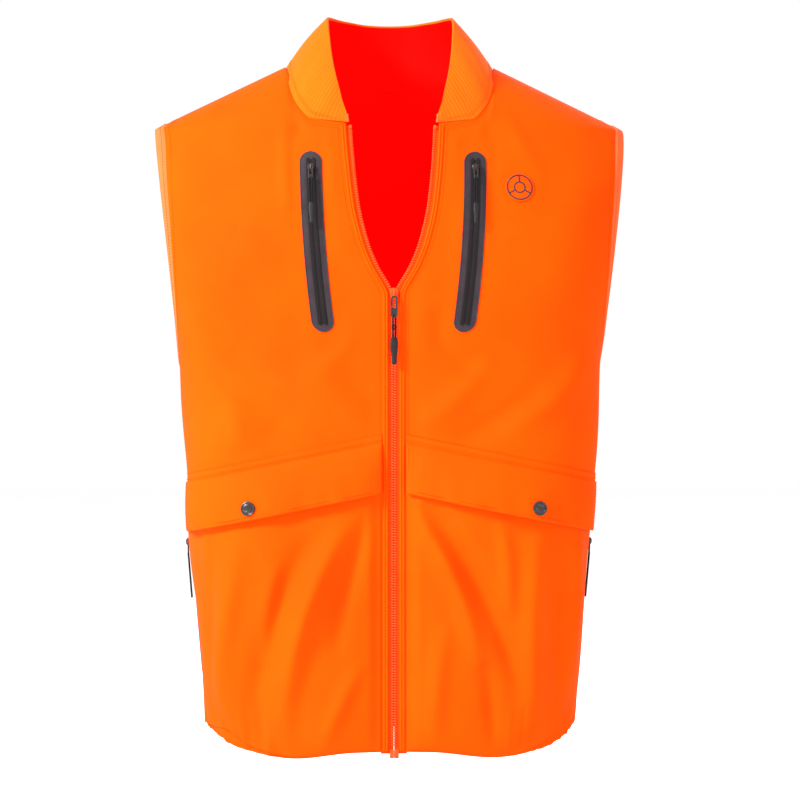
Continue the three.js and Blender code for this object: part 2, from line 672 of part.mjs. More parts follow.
function armholeBindings() {
  const turns = range(36).slice(0, -1);
  for (const [name, side] of SIDES) {
    const ring = (t, width) => {
      const [c, s] = [Math.cos(2 * Math.PI * t), Math.sin(2 * Math.PI * t)];
      const drop = armholeMiddle - (ARMHOLE_HALF_HEIGHT + width) * s;
      const y = (ARMHOLE_HALF_DEPTH + width) * c;
      const scale = y > 0 ? backDepth(drop) / frontDepth(drop) : 1;
      return onSide(side, y * scale, drop);
    };
    const grid = [0, BINDING_WIDTH - BINDING_CLEAR].map((width) =>
      turns.map((t) => {
        const p = ring(t, width);
        return { p, n: normalAt(p), lo: -SHELL, hi: 0.4 };
      }),
    );
    add(`${name}_armhole_binding`, sheet(grid, true), COLOURS.binding);
  }
}

// The hem facing: an elastic band inside the bottom edge, from one zip tape round to the other. It
// lies along the last row of the panels' grids.
function hemBand() {
  const last = ALL_ROWS.length - 1;
  const top = LINING_TOP - SEAM_GAP;
  const column = (pointAt, side, share) => (v) => {
    const ends = [pointAt(share, last - 1), pointAt(share, last)];
    const [a, b] = ends.map((p) => p.clone().setX(side * p.x));
    const n = normalAt(a).lerp(normalAt(b), v).normalize();
    return { p: a.lerp(b, v), n, lo: top - HEM_BAND, hi: top };
  };
  const front = (share, row) => panelPoint(share, row, FRONT);
  const fronts = frontShares.slice(1);
  const backs = backShares.slice(1, -1).reverse();
  const columns = [
    ...fronts.map((s) => column(front, 1, s)),
    ...backs.map((s) => column(backPoint, 1, s)),
    column(backPoint, 1, 0),
    ...backs.reverse().map((s) => column(backPoint, -1, s)),
    ...fronts.reverse().map((s) => column(front, -1, s)),
  ];
  add("hem_elastic", sheet(HEM_BAND_SPAN.map((v) => columns.map((at) => at(v)))), COLOURS.lining);
}

// ---- Chest zips ---------------------------------------------------------------------------------

// Centre line of a chest zip: upright at the top, bending towards the front zip lower down.
const chestZipX = (t) => CHEST_ZIP_X + CHEST_ZIP_BEND * (1 - 2.6 * t * t);
const chestZipAt = (side, t, across = 0) =>
  onFront(side * (chestZipX(t) + across), CHEST_ZIP_TOP + t * CHEST_ZIP_LENGTH);

// A strip with round ends along a chest zip, from its end margins.
function chestStrip(side, width, margin, lo, hi) {
  const half = width / 2;
  const end = half / CHEST_ZIP_LENGTH;
  const [from, to] = [margin / CHEST_ZIP_LENGTH, 1 - margin / CHEST_ZIP_LENGTH];
  const rounded = [0.05, 0.35, 1].map((s) => s * end);
  const between = [0.15, 0.3, 0.45, 0.6, 0.72, 0.85];
  const levels = [...rounded.map((s) => from + s), ...between, ...rounded.reverse().map((s) => to - s)];
  const widthShare = (t) => {
    const near = Math.min(t - from, to - t) / end;
    return near >= 1 ? 1 : Math.sqrt(1 - (1 - near) ** 2);
  };
  const grid = patch([-1, 0, 1], levels,
    (u, t) => chestZipAt(side, t, u * half * widthShare(t)), () => [lo, hi]);
  return sheet(grid);
}

const PATCH_TOP = SURFACE_GAP + PATCH_THICK;
const COIL_BASE = PATCH_TOP + 0.3;
const COIL_TOP = COIL_BASE + 0.5;

// The bag hangs behind the zip, inside the lining.
function chestBag(side) {
  const { inner, outer, top, bottom, thick } = CHEST_BAG;
  const outside = LINING_TOP - LINING - LAYER_GAP - 0.5;
  const place = (u, v) => onFront(side * mix(inner, outer, u), mix(top, bottom, v));
  return sheet(patch(range(6), range(8), place, () => [outside - thick, outside]));
}

// A slider and its pull, on a frame whose +Z points up the zip.
function sliderAndPull(name, frame, near) {
  slider(`${name}_slider`, frame, CHEST_SLIDER, near, COLOURS.snap);
  smallPull(`${name}_pull`, frame, near + CHEST_SLIDER.thick + PULL_GAP);
}

function chestZips() {
  for (const [name, side] of SIDES) {
    const film = chestStrip(side, PATCH_WIDTH, 0, SURFACE_GAP, PATCH_TOP);
    add(`${name}_chest_zip_patch`, film, COLOURS.charcoal, ROUGHNESS.laminate);
    const coil = chestStrip(side, CHANNEL_WIDTH, 8, COIL_BASE, COIL_TOP);
    add(`${name}_chest_zip_coil`, coil, COLOURS.channel, ROUGHNESS.moulded);
    add(`${name}_chest_pocket_bag`, chestBag(side), COLOURS.lining);
    const t = CHEST_SLIDER_AT;
    const up = chestZipAt(side, t - 0.05).sub(chestZipAt(side, t + 0.05));
    sliderAndPull(`${name}_chest`, frameOn(chestZipAt(side, t), up), COIL_TOP + CHEST_SLIDER_CLEAR);
  }
}

// ---- Lower pockets, flaps and snaps -------------------------------------------------------------

const flapSeamDrop = (x) => FLAP_SEAM_DROP + FLAP_SLOPE * Math.max(0, Math.abs(x) - FLAP_INNER_X);

// How far a pocket stands off the body, over its width share and distance below the flap's seam.
const fullness = (share) => Math.pow(Math.sin(Math.PI * mix(0.06, 0.94, clamp01(share))), 0.5);
const pocketOffset = (share, down) => {
  const sag = mix(POCKET_MOUTH, POCKET_DEPTH, clamp01((down - MOUTH_BELOW_SEAM) / 60));
  return SEAM_GAP + sag * (share <= 0 || share >= 1 ? 0 : fullness(share));
};
const flapOffset = (share, down) => {
  const clear = POCKET_DEPTH + SHELL + SNAP_STUD + SNAP_CLEAR + SNAP_SOCKET + 1.2;
  const rise = 1 - (1 - Math.min(1, down / FLAP_TALL)) ** 2;
  return SEAM_GAP + 0.3 + clear * rise * Math.max(0.45, fullness(share));
};

// The x of a share across a flap or a pocket, which ends where the body is that far in front.
const acrossFront = (innerX, endDepth) => (share, drop) =>
  xByAngle(innerX, widthAt(endDepth, drop, frontDepth), share, drop, frontDepth);
const flapX = acrossFront(FLAP_INNER_X, FLAP_END_DEPTH);
const pocketX = acrossFront(FLAP_INNER_X + 1, POCKET_END_DEPTH);
const FLAP_REFERENCE = 420;
const POCKET_REFERENCE = 470;

function pockets() {
  const downs = [0, 0.1, 0.25, 0.45, 0.65, 0.82, 0.93, 1];
  const shares = [0, 0.04, ...range(10).slice(1, -1), 0.96, 1];
  for (const [name, side] of SIDES) {
    const grid = downs.map((v) =>
      shares.map((share) => {
        const x0 = pocketX(share, POCKET_REFERENCE);
        const mouth = flapSeamDrop(x0) + MOUTH_BELOW_SEAM;
        const drop = mix(mouth, hemDrop(x0) - 5, v);
        const p = onFront(side * pocketX(share, drop), drop);
        const closing = Math.sqrt(1 - Math.max(0, (v - 0.65) / 0.35) ** 2);
        const d = SEAM_GAP + (pocketOffset(share, drop - flapSeamDrop(x0)) - SEAM_GAP) * closing;
        return { p, n: normalAt(p), lo: d, hi: d + SHELL };
      }),
    );
    add(`${name}_pocket`, sheet(grid), COLOURS.shell);
  }
}

function flap(side) {
  const grid = [0.02, 0.12, 0.28, 0.48, 0.75, 1].map((v) =>
    range(16).map((share) => {
      const x0 = flapX(share, FLAP_REFERENCE);
      const drop = flapSeamDrop(x0) + v * FLAP_TALL;
      const p = onFront(side * flapX(share, drop), drop);
      const d = flapOffset(share, v * FLAP_TALL);
      return { p, n: normalAt(p), lo: d, hi: d + FLAP_THICK };
    }),
  );
  return sheet(grid);
}

// The share across a flap at which its snap is.
function snapShare() {
  const angle = (x) => angleAt(x, FLAP_REFERENCE, frontDepth);
  const [from, to] = [0, 1].map((share) => angle(flapX(share, FLAP_REFERENCE)));
  return (angle(SNAP_X) - from) / (to - from);
}

// A snap: its cap and socket sit on the flap, and the stud below them on the pocket.
function snap(name, side) {
  const share = snapShare();
  const frame = frameOn(onFront(side * SNAP_X, flapSeamDrop(SNAP_X) + SNAP_BELOW_SEAM));
  const addMetal = (part, geometry) =>
    add(`${name}_snap_${part}`, geometry, COLOURS.snap, ROUGHNESS.metal, 0.4, frame);
  const capFoot = flapOffset(share, SNAP_BELOW_SEAM) + FLAP_THICK + 0.5;
  const crown = [0.8 * SNAP_RADIUS, SNAP_CAP];
  const capOutline = [[0, 0], [SNAP_RADIUS, 0], [SNAP_RADIUS, 1.2], crown, [0, SNAP_CAP]];
  addMetal("cap", turned(capOutline, capFoot));
  const socketRadius = 0.8 * SNAP_RADIUS;
  const socketTop = flapOffset(share, SNAP_BELOW_SEAM - socketRadius) - SOCKET_CLEAR;
  addMetal("socket", disc(socketRadius, SNAP_SOCKET, socketTop - SNAP_SOCKET));
  const pocketFace = pocketOffset(share, SNAP_BELOW_SEAM) + SHELL + STUD_CLEAR;
  addMetal("stud", disc(SNAP_STUD_RADIUS, SNAP_STUD, pocketFace));
}

function flaps() {
  for (const [name, side] of SIDES) {
    add(`${name}_flap`, flap(side), COLOURS.shell);
    snap(name, side);
  }
}

// ---- Game pouch and side zips -------------------------------------------------------------------

const sideZipAt = (side, t, across = 0) =>
  onSide(side, SIDE_ZIP_LEAN * t - 4 + across, SIDE_ZIP_TOP + t * SIDE_ZIP_LENGTH);

function sideStrip(side, width, end, offsets) {
  const along = range(6).map((t) => mix(end, 1 - end, t));
  const place = (across, t) => sideZipAt(side, t, across);
  return sheet(patch([-width / 2, width / 2], along, place, () => offsets));
}

function sideZips() {
  for (const [name, side] of SIDES) {
    const tape = sideStrip(side, SIDE_TAPE_WIDTH, 0, SIDE_TAPE);
    add(`${name}_side_zip_tape`, tape, COLOURS.charcoal, ROUGHNESS.laminate);
    const coil = sideStrip(side, SIDE_COIL_WIDTH, 0.02, SIDE_COIL);
    add(`${name}_side_zip_coil`, coil, COLOURS.channel, ROUGHNESS.moulded);
    const up = sideZipAt(side, 0).sub(sideZipAt(side, 1));
    const frame = frameOn(sideZipAt(side, SIDE_SLIDER_AT), up);
    sliderAndPull(`${name}_side`, frame, SIDE_COIL[1] + SIDE_SLIDER_CLEAR);
  }
}

function gamePouch() {
  const rows = ALL_ROWS.slice(POUCH_TOP_ROW, -1);
  const half = backShares.slice(0, -3);
  const edge = half.length - 1;
  const grid = rows.map((row, i) =>
    mirrored(half).map((share) => {
      const column = half.indexOf(Math.abs(share));
      const fromEnd = Math.min(i, rows.length - 1 - i);
      const closed = Math.min(1, (edge - column) / 1.5) * Math.min(1, fromEnd / 1.5);
      const d = SEAM_GAP + POUCH_DEPTH * closed;
      return onPanel(backPoint(share, row), [d, d + SHELL]);
    }),
  );
  add("game_pouch", sheet(grid), COLOURS.shell);
}

function smallParts() {
  const frame = frameOn(onFront(MARK_X, MARK_DROP));
  const mark = new THREE.CylinderGeometry(MARK_RADIUS, MARK_RADIUS, MARK_THICK, 24);
  mark.translate(0, -MARK_CLEAR - MARK_THICK / 2, 0);
  add("chest_mark", mark, COLOURS.mark, ROUGHNESS.cloth, 0, frame);
  const loopTop = LINING_TOP - LINING - 0.5;
  const place = (x, v) => onBack(x, LOOP_TOP + LOOP_TALL * (1 - v));
  const loop = patch([-9, -3, 3, 9], [0, 1], place, () => [loopTop - LOOP_THICK, loopTop]);
  add("hanger_loop", sheet(loop), COLOURS.lining);
}

frontPanels();
backPanel();
mainZip();
mainSlider();
collar();
lining();
armholeBindings();
hemBand();
chestZips();
pockets();
flaps();
sideZips();
gamePouch();
smallParts();

export default vest;
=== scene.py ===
"""The looks of a blaze orange field vest, built round its packed frame.

Lengths are in millimetres until a mesh is made, in the frame's own axes: +Z up, the front facing -Y.
A level on the body is given as its drop below the neck points.
"""
import math

import bpy
import numpy as np
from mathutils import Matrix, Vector


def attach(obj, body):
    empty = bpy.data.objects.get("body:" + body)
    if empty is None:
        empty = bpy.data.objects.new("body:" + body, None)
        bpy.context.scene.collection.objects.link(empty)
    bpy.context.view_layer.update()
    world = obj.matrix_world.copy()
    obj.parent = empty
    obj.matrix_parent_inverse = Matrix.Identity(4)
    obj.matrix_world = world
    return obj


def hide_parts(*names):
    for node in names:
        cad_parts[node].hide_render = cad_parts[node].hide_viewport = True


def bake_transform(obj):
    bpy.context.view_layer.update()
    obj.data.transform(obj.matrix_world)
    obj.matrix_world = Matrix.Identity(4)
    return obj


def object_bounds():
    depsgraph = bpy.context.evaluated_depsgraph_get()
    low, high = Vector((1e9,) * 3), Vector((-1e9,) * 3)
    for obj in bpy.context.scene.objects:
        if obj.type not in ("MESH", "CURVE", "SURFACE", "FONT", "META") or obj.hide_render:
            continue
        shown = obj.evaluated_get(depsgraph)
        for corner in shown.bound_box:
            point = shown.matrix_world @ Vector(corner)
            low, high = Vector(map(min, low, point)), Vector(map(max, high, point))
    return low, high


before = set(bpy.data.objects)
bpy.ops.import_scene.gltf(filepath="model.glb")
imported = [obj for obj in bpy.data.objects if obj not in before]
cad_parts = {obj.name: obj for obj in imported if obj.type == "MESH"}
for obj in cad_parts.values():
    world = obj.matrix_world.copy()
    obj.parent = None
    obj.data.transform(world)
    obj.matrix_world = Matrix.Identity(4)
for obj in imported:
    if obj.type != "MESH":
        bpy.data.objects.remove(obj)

CAD_LOW, CAD_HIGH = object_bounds()

bl_info = {
    "name": "Field vest",
    "version": (1, 0, 0),
    "blender": (4, 5, 0),
    "location": "3D View > Sidebar > Vest",
    "description": "Builds the cloth, zips and trims of a field vest round its frame",
    "category": "Object",
}

MM = 0.001
SIDES = (("left", 1), ("right", -1))

# ---- Sizes shared with the frame's own model -----------------------------------------------------

NECK_HALF, SHOULDER_HALF, SHOULDER_DROP = 105, 241, 66
CHEST_HALF, WAIST_HALF, WAIST_DROP = 215.5, 202, 487
HEM_HALF, HEM_DROP = 185.5, 694
NECK_FRONT, NECK_BACK, SHOULDER_FRONT = 50, 60, 87.6
YOKE_DROP, YOKE_FRONT, YOKE_BACK = 137, 108, 98
CHEST_DROP, CHEST_FRONT, CHEST_BACK = 230, 120, 112
WAIST_BACK, HEM_BACK = 99.68, 103.04
SQUARENESS = [(0, 2), (66, 2), (137, 2.8), (230, 3.3), (320, 3.5), (400, 4.2), (480, 4.2), (694, 3.2)]
ARMHOLE_HALF_HEIGHT, ARMHOLE_HALF_DEPTH, BINDING_WIDTH = 117, 62, 8
ARMHOLE_MIDDLE = SHOULDER_DROP + ARMHOLE_HALF_HEIGHT
ARMPIT_DROP = SHOULDER_DROP + 2 * ARMHOLE_HALF_HEIGHT
NECK_CORNER_X, NECK_CORNER_DROP, BACK_NECK_DROP = 46, 66, 14
COLLAR_TOP, COLLAR_TOP_HALF = 50, 63
SLIDER_DROP, V_HALF, TAPE_SHOWS = 238, 41, 5.5
ZIP_END = HEM_DROP - 6
CHEST_ZIP_X, CHEST_ZIP_BEND, CHEST_ZIP_TOP, CHEST_ZIP_LENGTH = 77, 5, 95, 181
PATCH_WIDTH = 22.5
FLAP_SEAM_DROP, FLAP_SLOPE, FLAP_TALL, FLAP_INNER_X = 385.5, 0.205, 50, 12
FLAP_END_DEPTH, MOUTH_BELOW_SEAM, POCKET_DEPTH, POCKET_MOUTH = 66, 22, 8, 6
FLAP_CLEAR = POCKET_DEPTH + 1.8 + 1.1 + 0.7 + 1 + 1.2
SNAP_X, SNAP_BELOW_SEAM, SNAP_RADIUS = 141, 38, 7.3
SIDE_ZIP_TOP, SIDE_ZIP_LENGTH, SIDE_ZIP_LEAN = 479, 150, 18
POUCH_TOP, POUCH_BOTTOM, POUCH_DEPTH = 430, 655, 8
MARK_X, MARK_DROP, MARK_RADIUS = 126, 131, 15
YOKE_LEVEL = 150
SEAM_GAP, SHELL, LAYER_GAP = 0.4, 1.8, 0.4
LINING_TOP = -SHELL - LAYER_GAP

# Sizes of the looks alone
FOLD_SCALE = 1.3
# Painted glow: the orange cloth and knits give off a little light of their own, which keeps them bright in
# their shade.
GLOW = 0.05
STITCH_WIDTH, STITCH_HEIGHT, STITCH_STEP = 0.75, 0.65, 1.3
SEAM_POINTS = 240
FLAP_THICKNESS = 1.8
BADGE_RINGS = (12.6, 5.4)

# ---- Curves and the body surface -----------------------------------------------------------------


def smooth(points):
    """A smooth curve through (level, value) points that never swings past them, straight beyond them."""
    at, value = np.array(points, float).T
    step, slope = np.diff(at), np.diff(value) / np.diff(at)
    tangent = np.concatenate([slope[:1], np.zeros(len(at) - 2), slope[-1:]])
    a, b = slope[:-1], slope[1:]
    same = a * b > 0
    tangent[1:-1][same] = 2 * a[same] * b[same] / (a + b)[same]

    def curve(t):
        t = np.asarray(t, float)
        i = np.clip(np.searchsorted(at, t, side="right") - 1, 0, len(step) - 1)
        u = (t - at[i]) / step[i]
        c = np.clip(u, 0, 1)
        inside = (
            (2 * c**3 - 3 * c**2 + 1) * value[i] + (3 * c**2 - 2 * c**3) * value[i + 1]
            + ((c**3 - 2 * c**2 + c) * tangent[i] + (c**3 - c**2) * tangent[i + 1]) * step[i]
        )
        return inside + (u - c) * step[i] * slope[i]

    return curve


def mix(a, b, t):
    return a + (b - a) * t


def ease(value, low, high):
    """0 below low, 1 above high, and smooth between."""
    t = np.clip((value - low) / (high - low), 0, 1)
    return t * t * (3 - 2 * t)


outline = smooth([
    (SHOULDER_DROP, SHOULDER_HALF), (ARMPIT_DROP, CHEST_HALF), (WAIST_DROP, WAIST_HALF),
    (HEM_DROP, HEM_HALF),
])
front_depth = smooth([
    (0, NECK_FRONT), (SHOULDER_DROP, SHOULDER_FRONT), (YOKE_DROP, YOKE_FRONT),
    (CHEST_DROP, CHEST_FRONT), (HEM_DROP, CHEST_FRONT),
])
back_depth = smooth([
    (0, NECK_BACK), (YOKE_DROP, YOKE_BACK), (CHEST_DROP, CHEST_BACK), (WAIST_DROP, WAIST_BACK),
    (HEM_DROP, HEM_BACK),
])
squareness = smooth(SQUARENESS)
v_opening = smooth([
    (NECK_CORNER_DROP, V_HALF), (85, 0.975 * V_HALF), (145, 0.83 * V_HALF), (185, 0.61 * V_HALF),
    (210, 0.37 * V_HALF), (SLIDER_DROP - 6, 2.5), (SLIDER_DROP, 0),
])
front_neck = smooth([
    (NECK_CORNER_X, NECK_CORNER_DROP), (82, 60), (92, 49), (99, 35), (103, 17), (NECK_HALF, 1.5),
])
hem_drop = smooth([
    (0, HEM_DROP - 3), (40, HEM_DROP - 2), (100, HEM_DROP + 4), (150, HEM_DROP - 3),
    (HEM_HALF, HEM_DROP - 22),
])


def opening(drop):
    """Half the gap between the two halves of the main zip."""
    drop = np.asarray(drop, float)
    return np.where(drop >= SLIDER_DROP, 0, np.maximum(0, v_opening(drop)))


def ellipse_depth(drop, half_height, half_depth):
    r = (np.asarray(drop, float) - ARMHOLE_MIDDLE) / half_height
    return half_depth * np.sqrt(np.clip(1 - r * r, 0, 1))


def half_width(drop):
    """Half width of the body at a level, with the missing side beside the armhole."""
    drop = np.asarray(drop, float)
    n = squareness(drop)
    missing = ellipse_depth(drop, ARMHOLE_HALF_HEIGHT, ARMHOLE_HALF_DEPTH) / front_depth(drop)
    body = outline(drop) / (1 - missing**n) ** (1 / n)
    shoulder = NECK_HALF + (SHOULDER_HALF - NECK_HALF) * drop / SHOULDER_DROP
    return np.where(drop < SHOULDER_DROP, shoulder, body)


def depth_at(x, drop, depth):
    n = squareness(drop)
    r = np.minimum(1, np.abs(x) / half_width(drop))
    return depth(drop) * (1 - r**n) ** (1 / n)


def width_at(y, drop, depth):
    n = squareness(drop)
    r = np.minimum(1, np.abs(y) / depth(drop))
    return half_width(drop) * (1 - r**n) ** (1 / n)


def points(x, y, z):
    x, y, z = np.broadcast_arrays(np.asarray(x, float), y, z)
    return np.stack([x, y, z], -1)


def on_front(x, drop):
    return points(x, -depth_at(x, drop, front_depth), -np.asarray(drop, float))


def on_back(x, drop):
    return points(x, depth_at(x, drop, back_depth), -np.asarray(drop, float))


def on_side(side, y, drop):
    width = np.where(np.asarray(y) > 0, width_at(y, drop, back_depth), width_at(y, drop, front_depth))
    return points(side * width, y, -np.asarray(drop, float))


def unit(v):
    return v / np.maximum(np.linalg.norm(v, axis=-1, keepdims=True), 1e-9)


def normals(p):
    """Outward directions of the body surface at points near it."""
    x, y, drop = p[..., 0], p[..., 1], -p[..., 2]
    behind = y > 0

    def depth(d):
        return np.where(behind, back_depth(d), front_depth(d))

    def level(d):
        n = squareness(d)
        return (np.abs(x) / half_width(d)) ** n + (np.abs(y) / depth(d)) ** n

    n, a, b, step = squareness(drop), half_width(drop), depth(drop), 0.5
    across = np.sign(x) * n * (np.abs(x) / a) ** (n - 1) / a
    out = np.sign(y) * n * (np.abs(y) / b) ** (n - 1) / b
    up = (level(drop - step) - level(drop + step)) / (2 * step)
    return unit(points(across, out, up))


def angle_at(x, drop, depth):
    return np.arctan2(x, depth_at(x, drop, depth))


def x_at_angle(angle, drop, depth):
    n = squareness(drop)
    inverse = (np.abs(np.sin(angle)) / half_width(drop)) ** n + (np.abs(np.cos(angle)) / depth(drop)) ** n
    return np.sin(angle) / inverse ** (1 / n)


def x_by_angle(from_x, to_x, share, drop, depth):
    return x_at_angle(mix(angle_at(from_x, drop, depth), angle_at(to_x, drop, depth), share), drop, depth)


# ---- Panels: a share across from the zip or spine, and how far down from the top edge ------------

RING_HALF_HEIGHT, RING_HALF_DEPTH = ARMHOLE_HALF_HEIGHT + BINDING_WIDTH, ARMHOLE_HALF_DEPTH + BINDING_WIDTH
RING_TOP = ARMHOLE_MIDDLE - RING_HALF_HEIGHT
TOP_HALF = float(half_width(RING_TOP)) - 1
FAN = 0.2
CROWDING = 4


def front_edge(drop):
    return opening(drop) + TAPE_SHOWS


def outer_edge(drop, depth):
    ring = ellipse_depth(drop, RING_HALF_HEIGHT, RING_HALF_DEPTH) * depth(drop) / front_depth(drop)
    return width_at(np.maximum(ring, 0.01), drop, depth)


def shoulder_drop(x):
    return np.maximum(1.5, (np.abs(x) - NECK_HALF) / (SHOULDER_HALF - NECK_HALF) * SHOULDER_DROP)


def top_drop(x, back):
    """The drop of a panel's top edge: the neck line, and beyond it the shoulder."""
    x = np.abs(x)
    if back:
        neck = 1.5 + (BACK_NECK_DROP - 1.5) * (1 - (x / NECK_HALF) ** 2)
    else:
        neck = front_neck(np.maximum(x, NECK_CORNER_X))
    return np.where(x < NECK_HALF, neck, shoulder_drop(x))


def across(share, drop, back):
    """x at a share of the way round a level, crowding up to the armhole only at the very edge."""
    depth = back_depth if back else front_depth
    inner = np.zeros_like(drop) if back else front_edge(drop)
    outer = outer_edge(drop, depth)
    missing = math.pi / 2 - angle_at(outer, drop, depth)
    angle = mix(angle_at(inner, drop, depth), math.pi / 2, share) - missing * share**CROWDING
    below_yoke = np.clip((drop - YOKE_LEVEL) / 150, 0, 1)
    return mix(mix(inner, outer, share), x_at_angle(angle, drop, depth), below_yoke)


def panel_points(side, share, down, back=False):
    """Points of a panel: the upper part fans up to shoulder and neck, the lower one is level to the hem."""
    share, down = np.broadcast_arrays(np.asarray(share, float), np.asarray(down, float))
    depth = back_depth if back else front_depth
    up = 1 - np.clip(down / FAN, 0, 1) ** 2
    inner_corner = 0 if back else float(front_edge(NECK_CORNER_DROP))
    top_x = mix(inner_corner, TOP_HALF, share)
    fan_drop = mix(YOKE_LEVEL, top_drop(top_x, back), up)
    inner_drop = mix(YOKE_LEVEL, top_drop(np.full_like(share, inner_corner), back), up)
    inner = np.zeros_like(share) if back else front_edge(inner_drop)
    fan_x = mix(inner, outer_edge(mix(YOKE_LEVEL, RING_TOP + 0.6, up), depth), share)
    level = mix(YOKE_LEVEL, HEM_DROP, (down - FAN) / (1 - FAN))
    level = np.maximum(level, YOKE_LEVEL)
    low_x = across(share, level, back)
    level = level + (hem_drop(low_x) - HEM_DROP) * np.clip((level - 400) / (HEM_DROP - 400), 0, 1) ** 2
    low_x = across(share, level, back)
    fan = down < FAN
    x, drop = np.where(fan, fan_x, low_x), np.where(fan, fan_drop, level)
    p = on_back(x, drop) if back else on_front(x, drop)
    p[..., 0] *= side
    if back:
        p[..., 1] = np.maximum(p[..., 1], 0.1)
    return p


# ---- Folds: how far the cloth stands off the body surface ----------------------------------------

# Each fold runs from (x, drop) to (x, drop): its half width, its height, and how far its middle bows
FRONT_FOLDS = [
    (-93, 58, -86, 190, 7, -2.6, 3), (-108, 60, -104, 160, 8, 1.8, 0),
    (-66, 68, -56, 150, 8, 1.6, 2), (92, 50, 96, 150, 8, -1.8, -3), (66, 68, 58, 150, 8, 1.4, -2),
    (112, 45, 150, 120, 10, 1.6, 4), (-205, 300, -120, 372, 13, 3.3, 8),
    (-190, 260, -110, 330, 12, -2.7, 8), (205, 290, 110, 375, 14, 3.6, -8),
    (-100, 300, -22, 376, 14, 2.4, -6), (20, 372, 100, 300, 13, 2.7, 6),
    (150, 330, 60, 384, 12, -2.4, -4), (-160, 340, -150, 395, 10, 2.25, 0),
    (40, 250, 95, 330, 16, -2.1, 6), (-40, 250, -90, 340, 16, 2.25, -6),
    (-46, 462, -108, 690, 11, 7.5, 16), (-78, 470, -140, 690, 12.8, -7.36, 14),
    (-20, 450, -58, 600, 10.2, -5.12, 8), (-150, 480, -168, 660, 10.2, 5.44, 4),
    (-178, 470, -182, 640, 6.8, -4.16, 0), (-112, 500, -128, 610, 7.6, 3.52, 4),
    (12, 446, 84, 610, 9.3, 6.72, -12), (30, 440, 128, 640, 10.2, -6.4, -10),
    (52, 560, 40, 688, 10.2, 3.84, 4), (143, 466, 137, 690, 10.2, 6.08, 6),
    (168, 470, 160, 660, 7.6, -5.44, 3), (104, 455, 112, 560, 7.6, 3.2, -3),
    (-30, 600, -70, 690, 8.5, 3.2, 3), (90, 600, 100, 690, 7.6, -3.52, 0),
    (184, 480, 178, 640, 6, 4.16, 0),
]
BACK_FOLDS = [
    (0, 30, 0, 150, 16, -2.1, 4), (60, 40, 95, 230, 13, 3.6, 10), (-60, 40, -90, 230, 13, 3.3, -10),
    (150, 90, 110, 260, 12, -3.3, 8), (-150, 90, -112, 260, 12, -3.3, -8),
    (30, 170, 60, 400, 14, 3.3, -6), (-36, 180, -70, 410, 14, -3.6, 6),
    (205, 300, 90, 380, 14, 3.6, 10), (-205, 300, -80, 385, 14, 3.3, -10),
    (110, 470, 130, 650, 12, 3.9, 6), (-105, 470, -128, 650, 12, 4.2, -6),
    (40, 470, 28, 640, 13, -3.9, 4), (-42, 480, -20, 640, 13, 3.6, -4),
    (165, 560, 160, 685, 9, 3.9, 0), (-165, 560, -160, 685, 9, 3.9, 0),
]
# Slow swells of the cloth: wave numbers along x, y and z in radians per millimetre, phase and height
SWELLS = [
    (0.031, 0.017, 0.012, 0.4, 0.7), (-0.022, 0.025, 0.034, 1.9, 0.6), (0.055, -0.03, 0.021, 3.1, 0.4),
    (-0.061, 0.04, 0.043, 5.2, 0.3), (0.093, 0.05, -0.037, 2.2, 0.18),
]


def chest_zip_x(t):
    return CHEST_ZIP_X + CHEST_ZIP_BEND * (1 - 2.6 * t * t)


def fold(x, drop, line):
    """The height of one fold at a place."""
    x0, d0, x1, d1, width, height, bow = line
    length = math.hypot(x1 - x0, d1 - d0)
    along = ((x - x0) * (x1 - x0) + (drop - d0) * (d1 - d0)) / length**2
    inside = np.clip(along, 0, 1)
    off = ((x - x0) * (d1 - d0) - (drop - d0) * (x1 - x0)) / length + bow * 4 * inside * (1 - inside)
    return height * np.sin(math.pi * inside) ** 0.8 * np.exp(-((off / width) ** 2))


def calm(x, y, drop):
    """0 where zips, snaps and seams hold the cloth flat, and 1 away from them."""
    t = (drop - CHEST_ZIP_TOP) / CHEST_ZIP_LENGTH
    beyond = np.maximum(0, np.maximum(-t, t - 1)) * CHEST_ZIP_LENGTH
    chest_zip = np.hypot(np.abs(x) - chest_zip_x(np.clip(t, 0, 1)), beyond)
    scale = np.where(y > 0, back_depth(drop) / front_depth(drop), 1)
    ring = np.hypot((drop - ARMHOLE_MIDDLE) / RING_HALF_HEIGHT, y / scale / RING_HALF_DEPTH)
    snap_seam = FLAP_SEAM_DROP + FLAP_SLOPE * (SNAP_X - FLAP_INNER_X)
    snap = np.hypot(np.abs(x) - SNAP_X, drop - snap_seam - SNAP_BELOW_SEAM)
    half_zip = SIDE_ZIP_LENGTH / 2
    side_zip = np.hypot(y - 5, np.maximum(0, np.abs(drop - SIDE_ZIP_TOP - half_zip) - half_zip))
    below_neck = drop - np.where(y > 0, top_drop(x, True), top_drop(x, False))
    front = (
        ease(np.abs(x) - opening(drop), 12, 34) * ease(chest_zip, 12, 30) * ease(snap, 9, 26)
        * ease(np.hypot(x - MARK_X, drop - MARK_DROP), 16, 34)
    )
    seams = ease(ring, 1.02, 1.3) * ease(side_zip, 12, 34) * ease(below_neck, 4, 26)
    return np.where(y > 0, 1, front) * seams


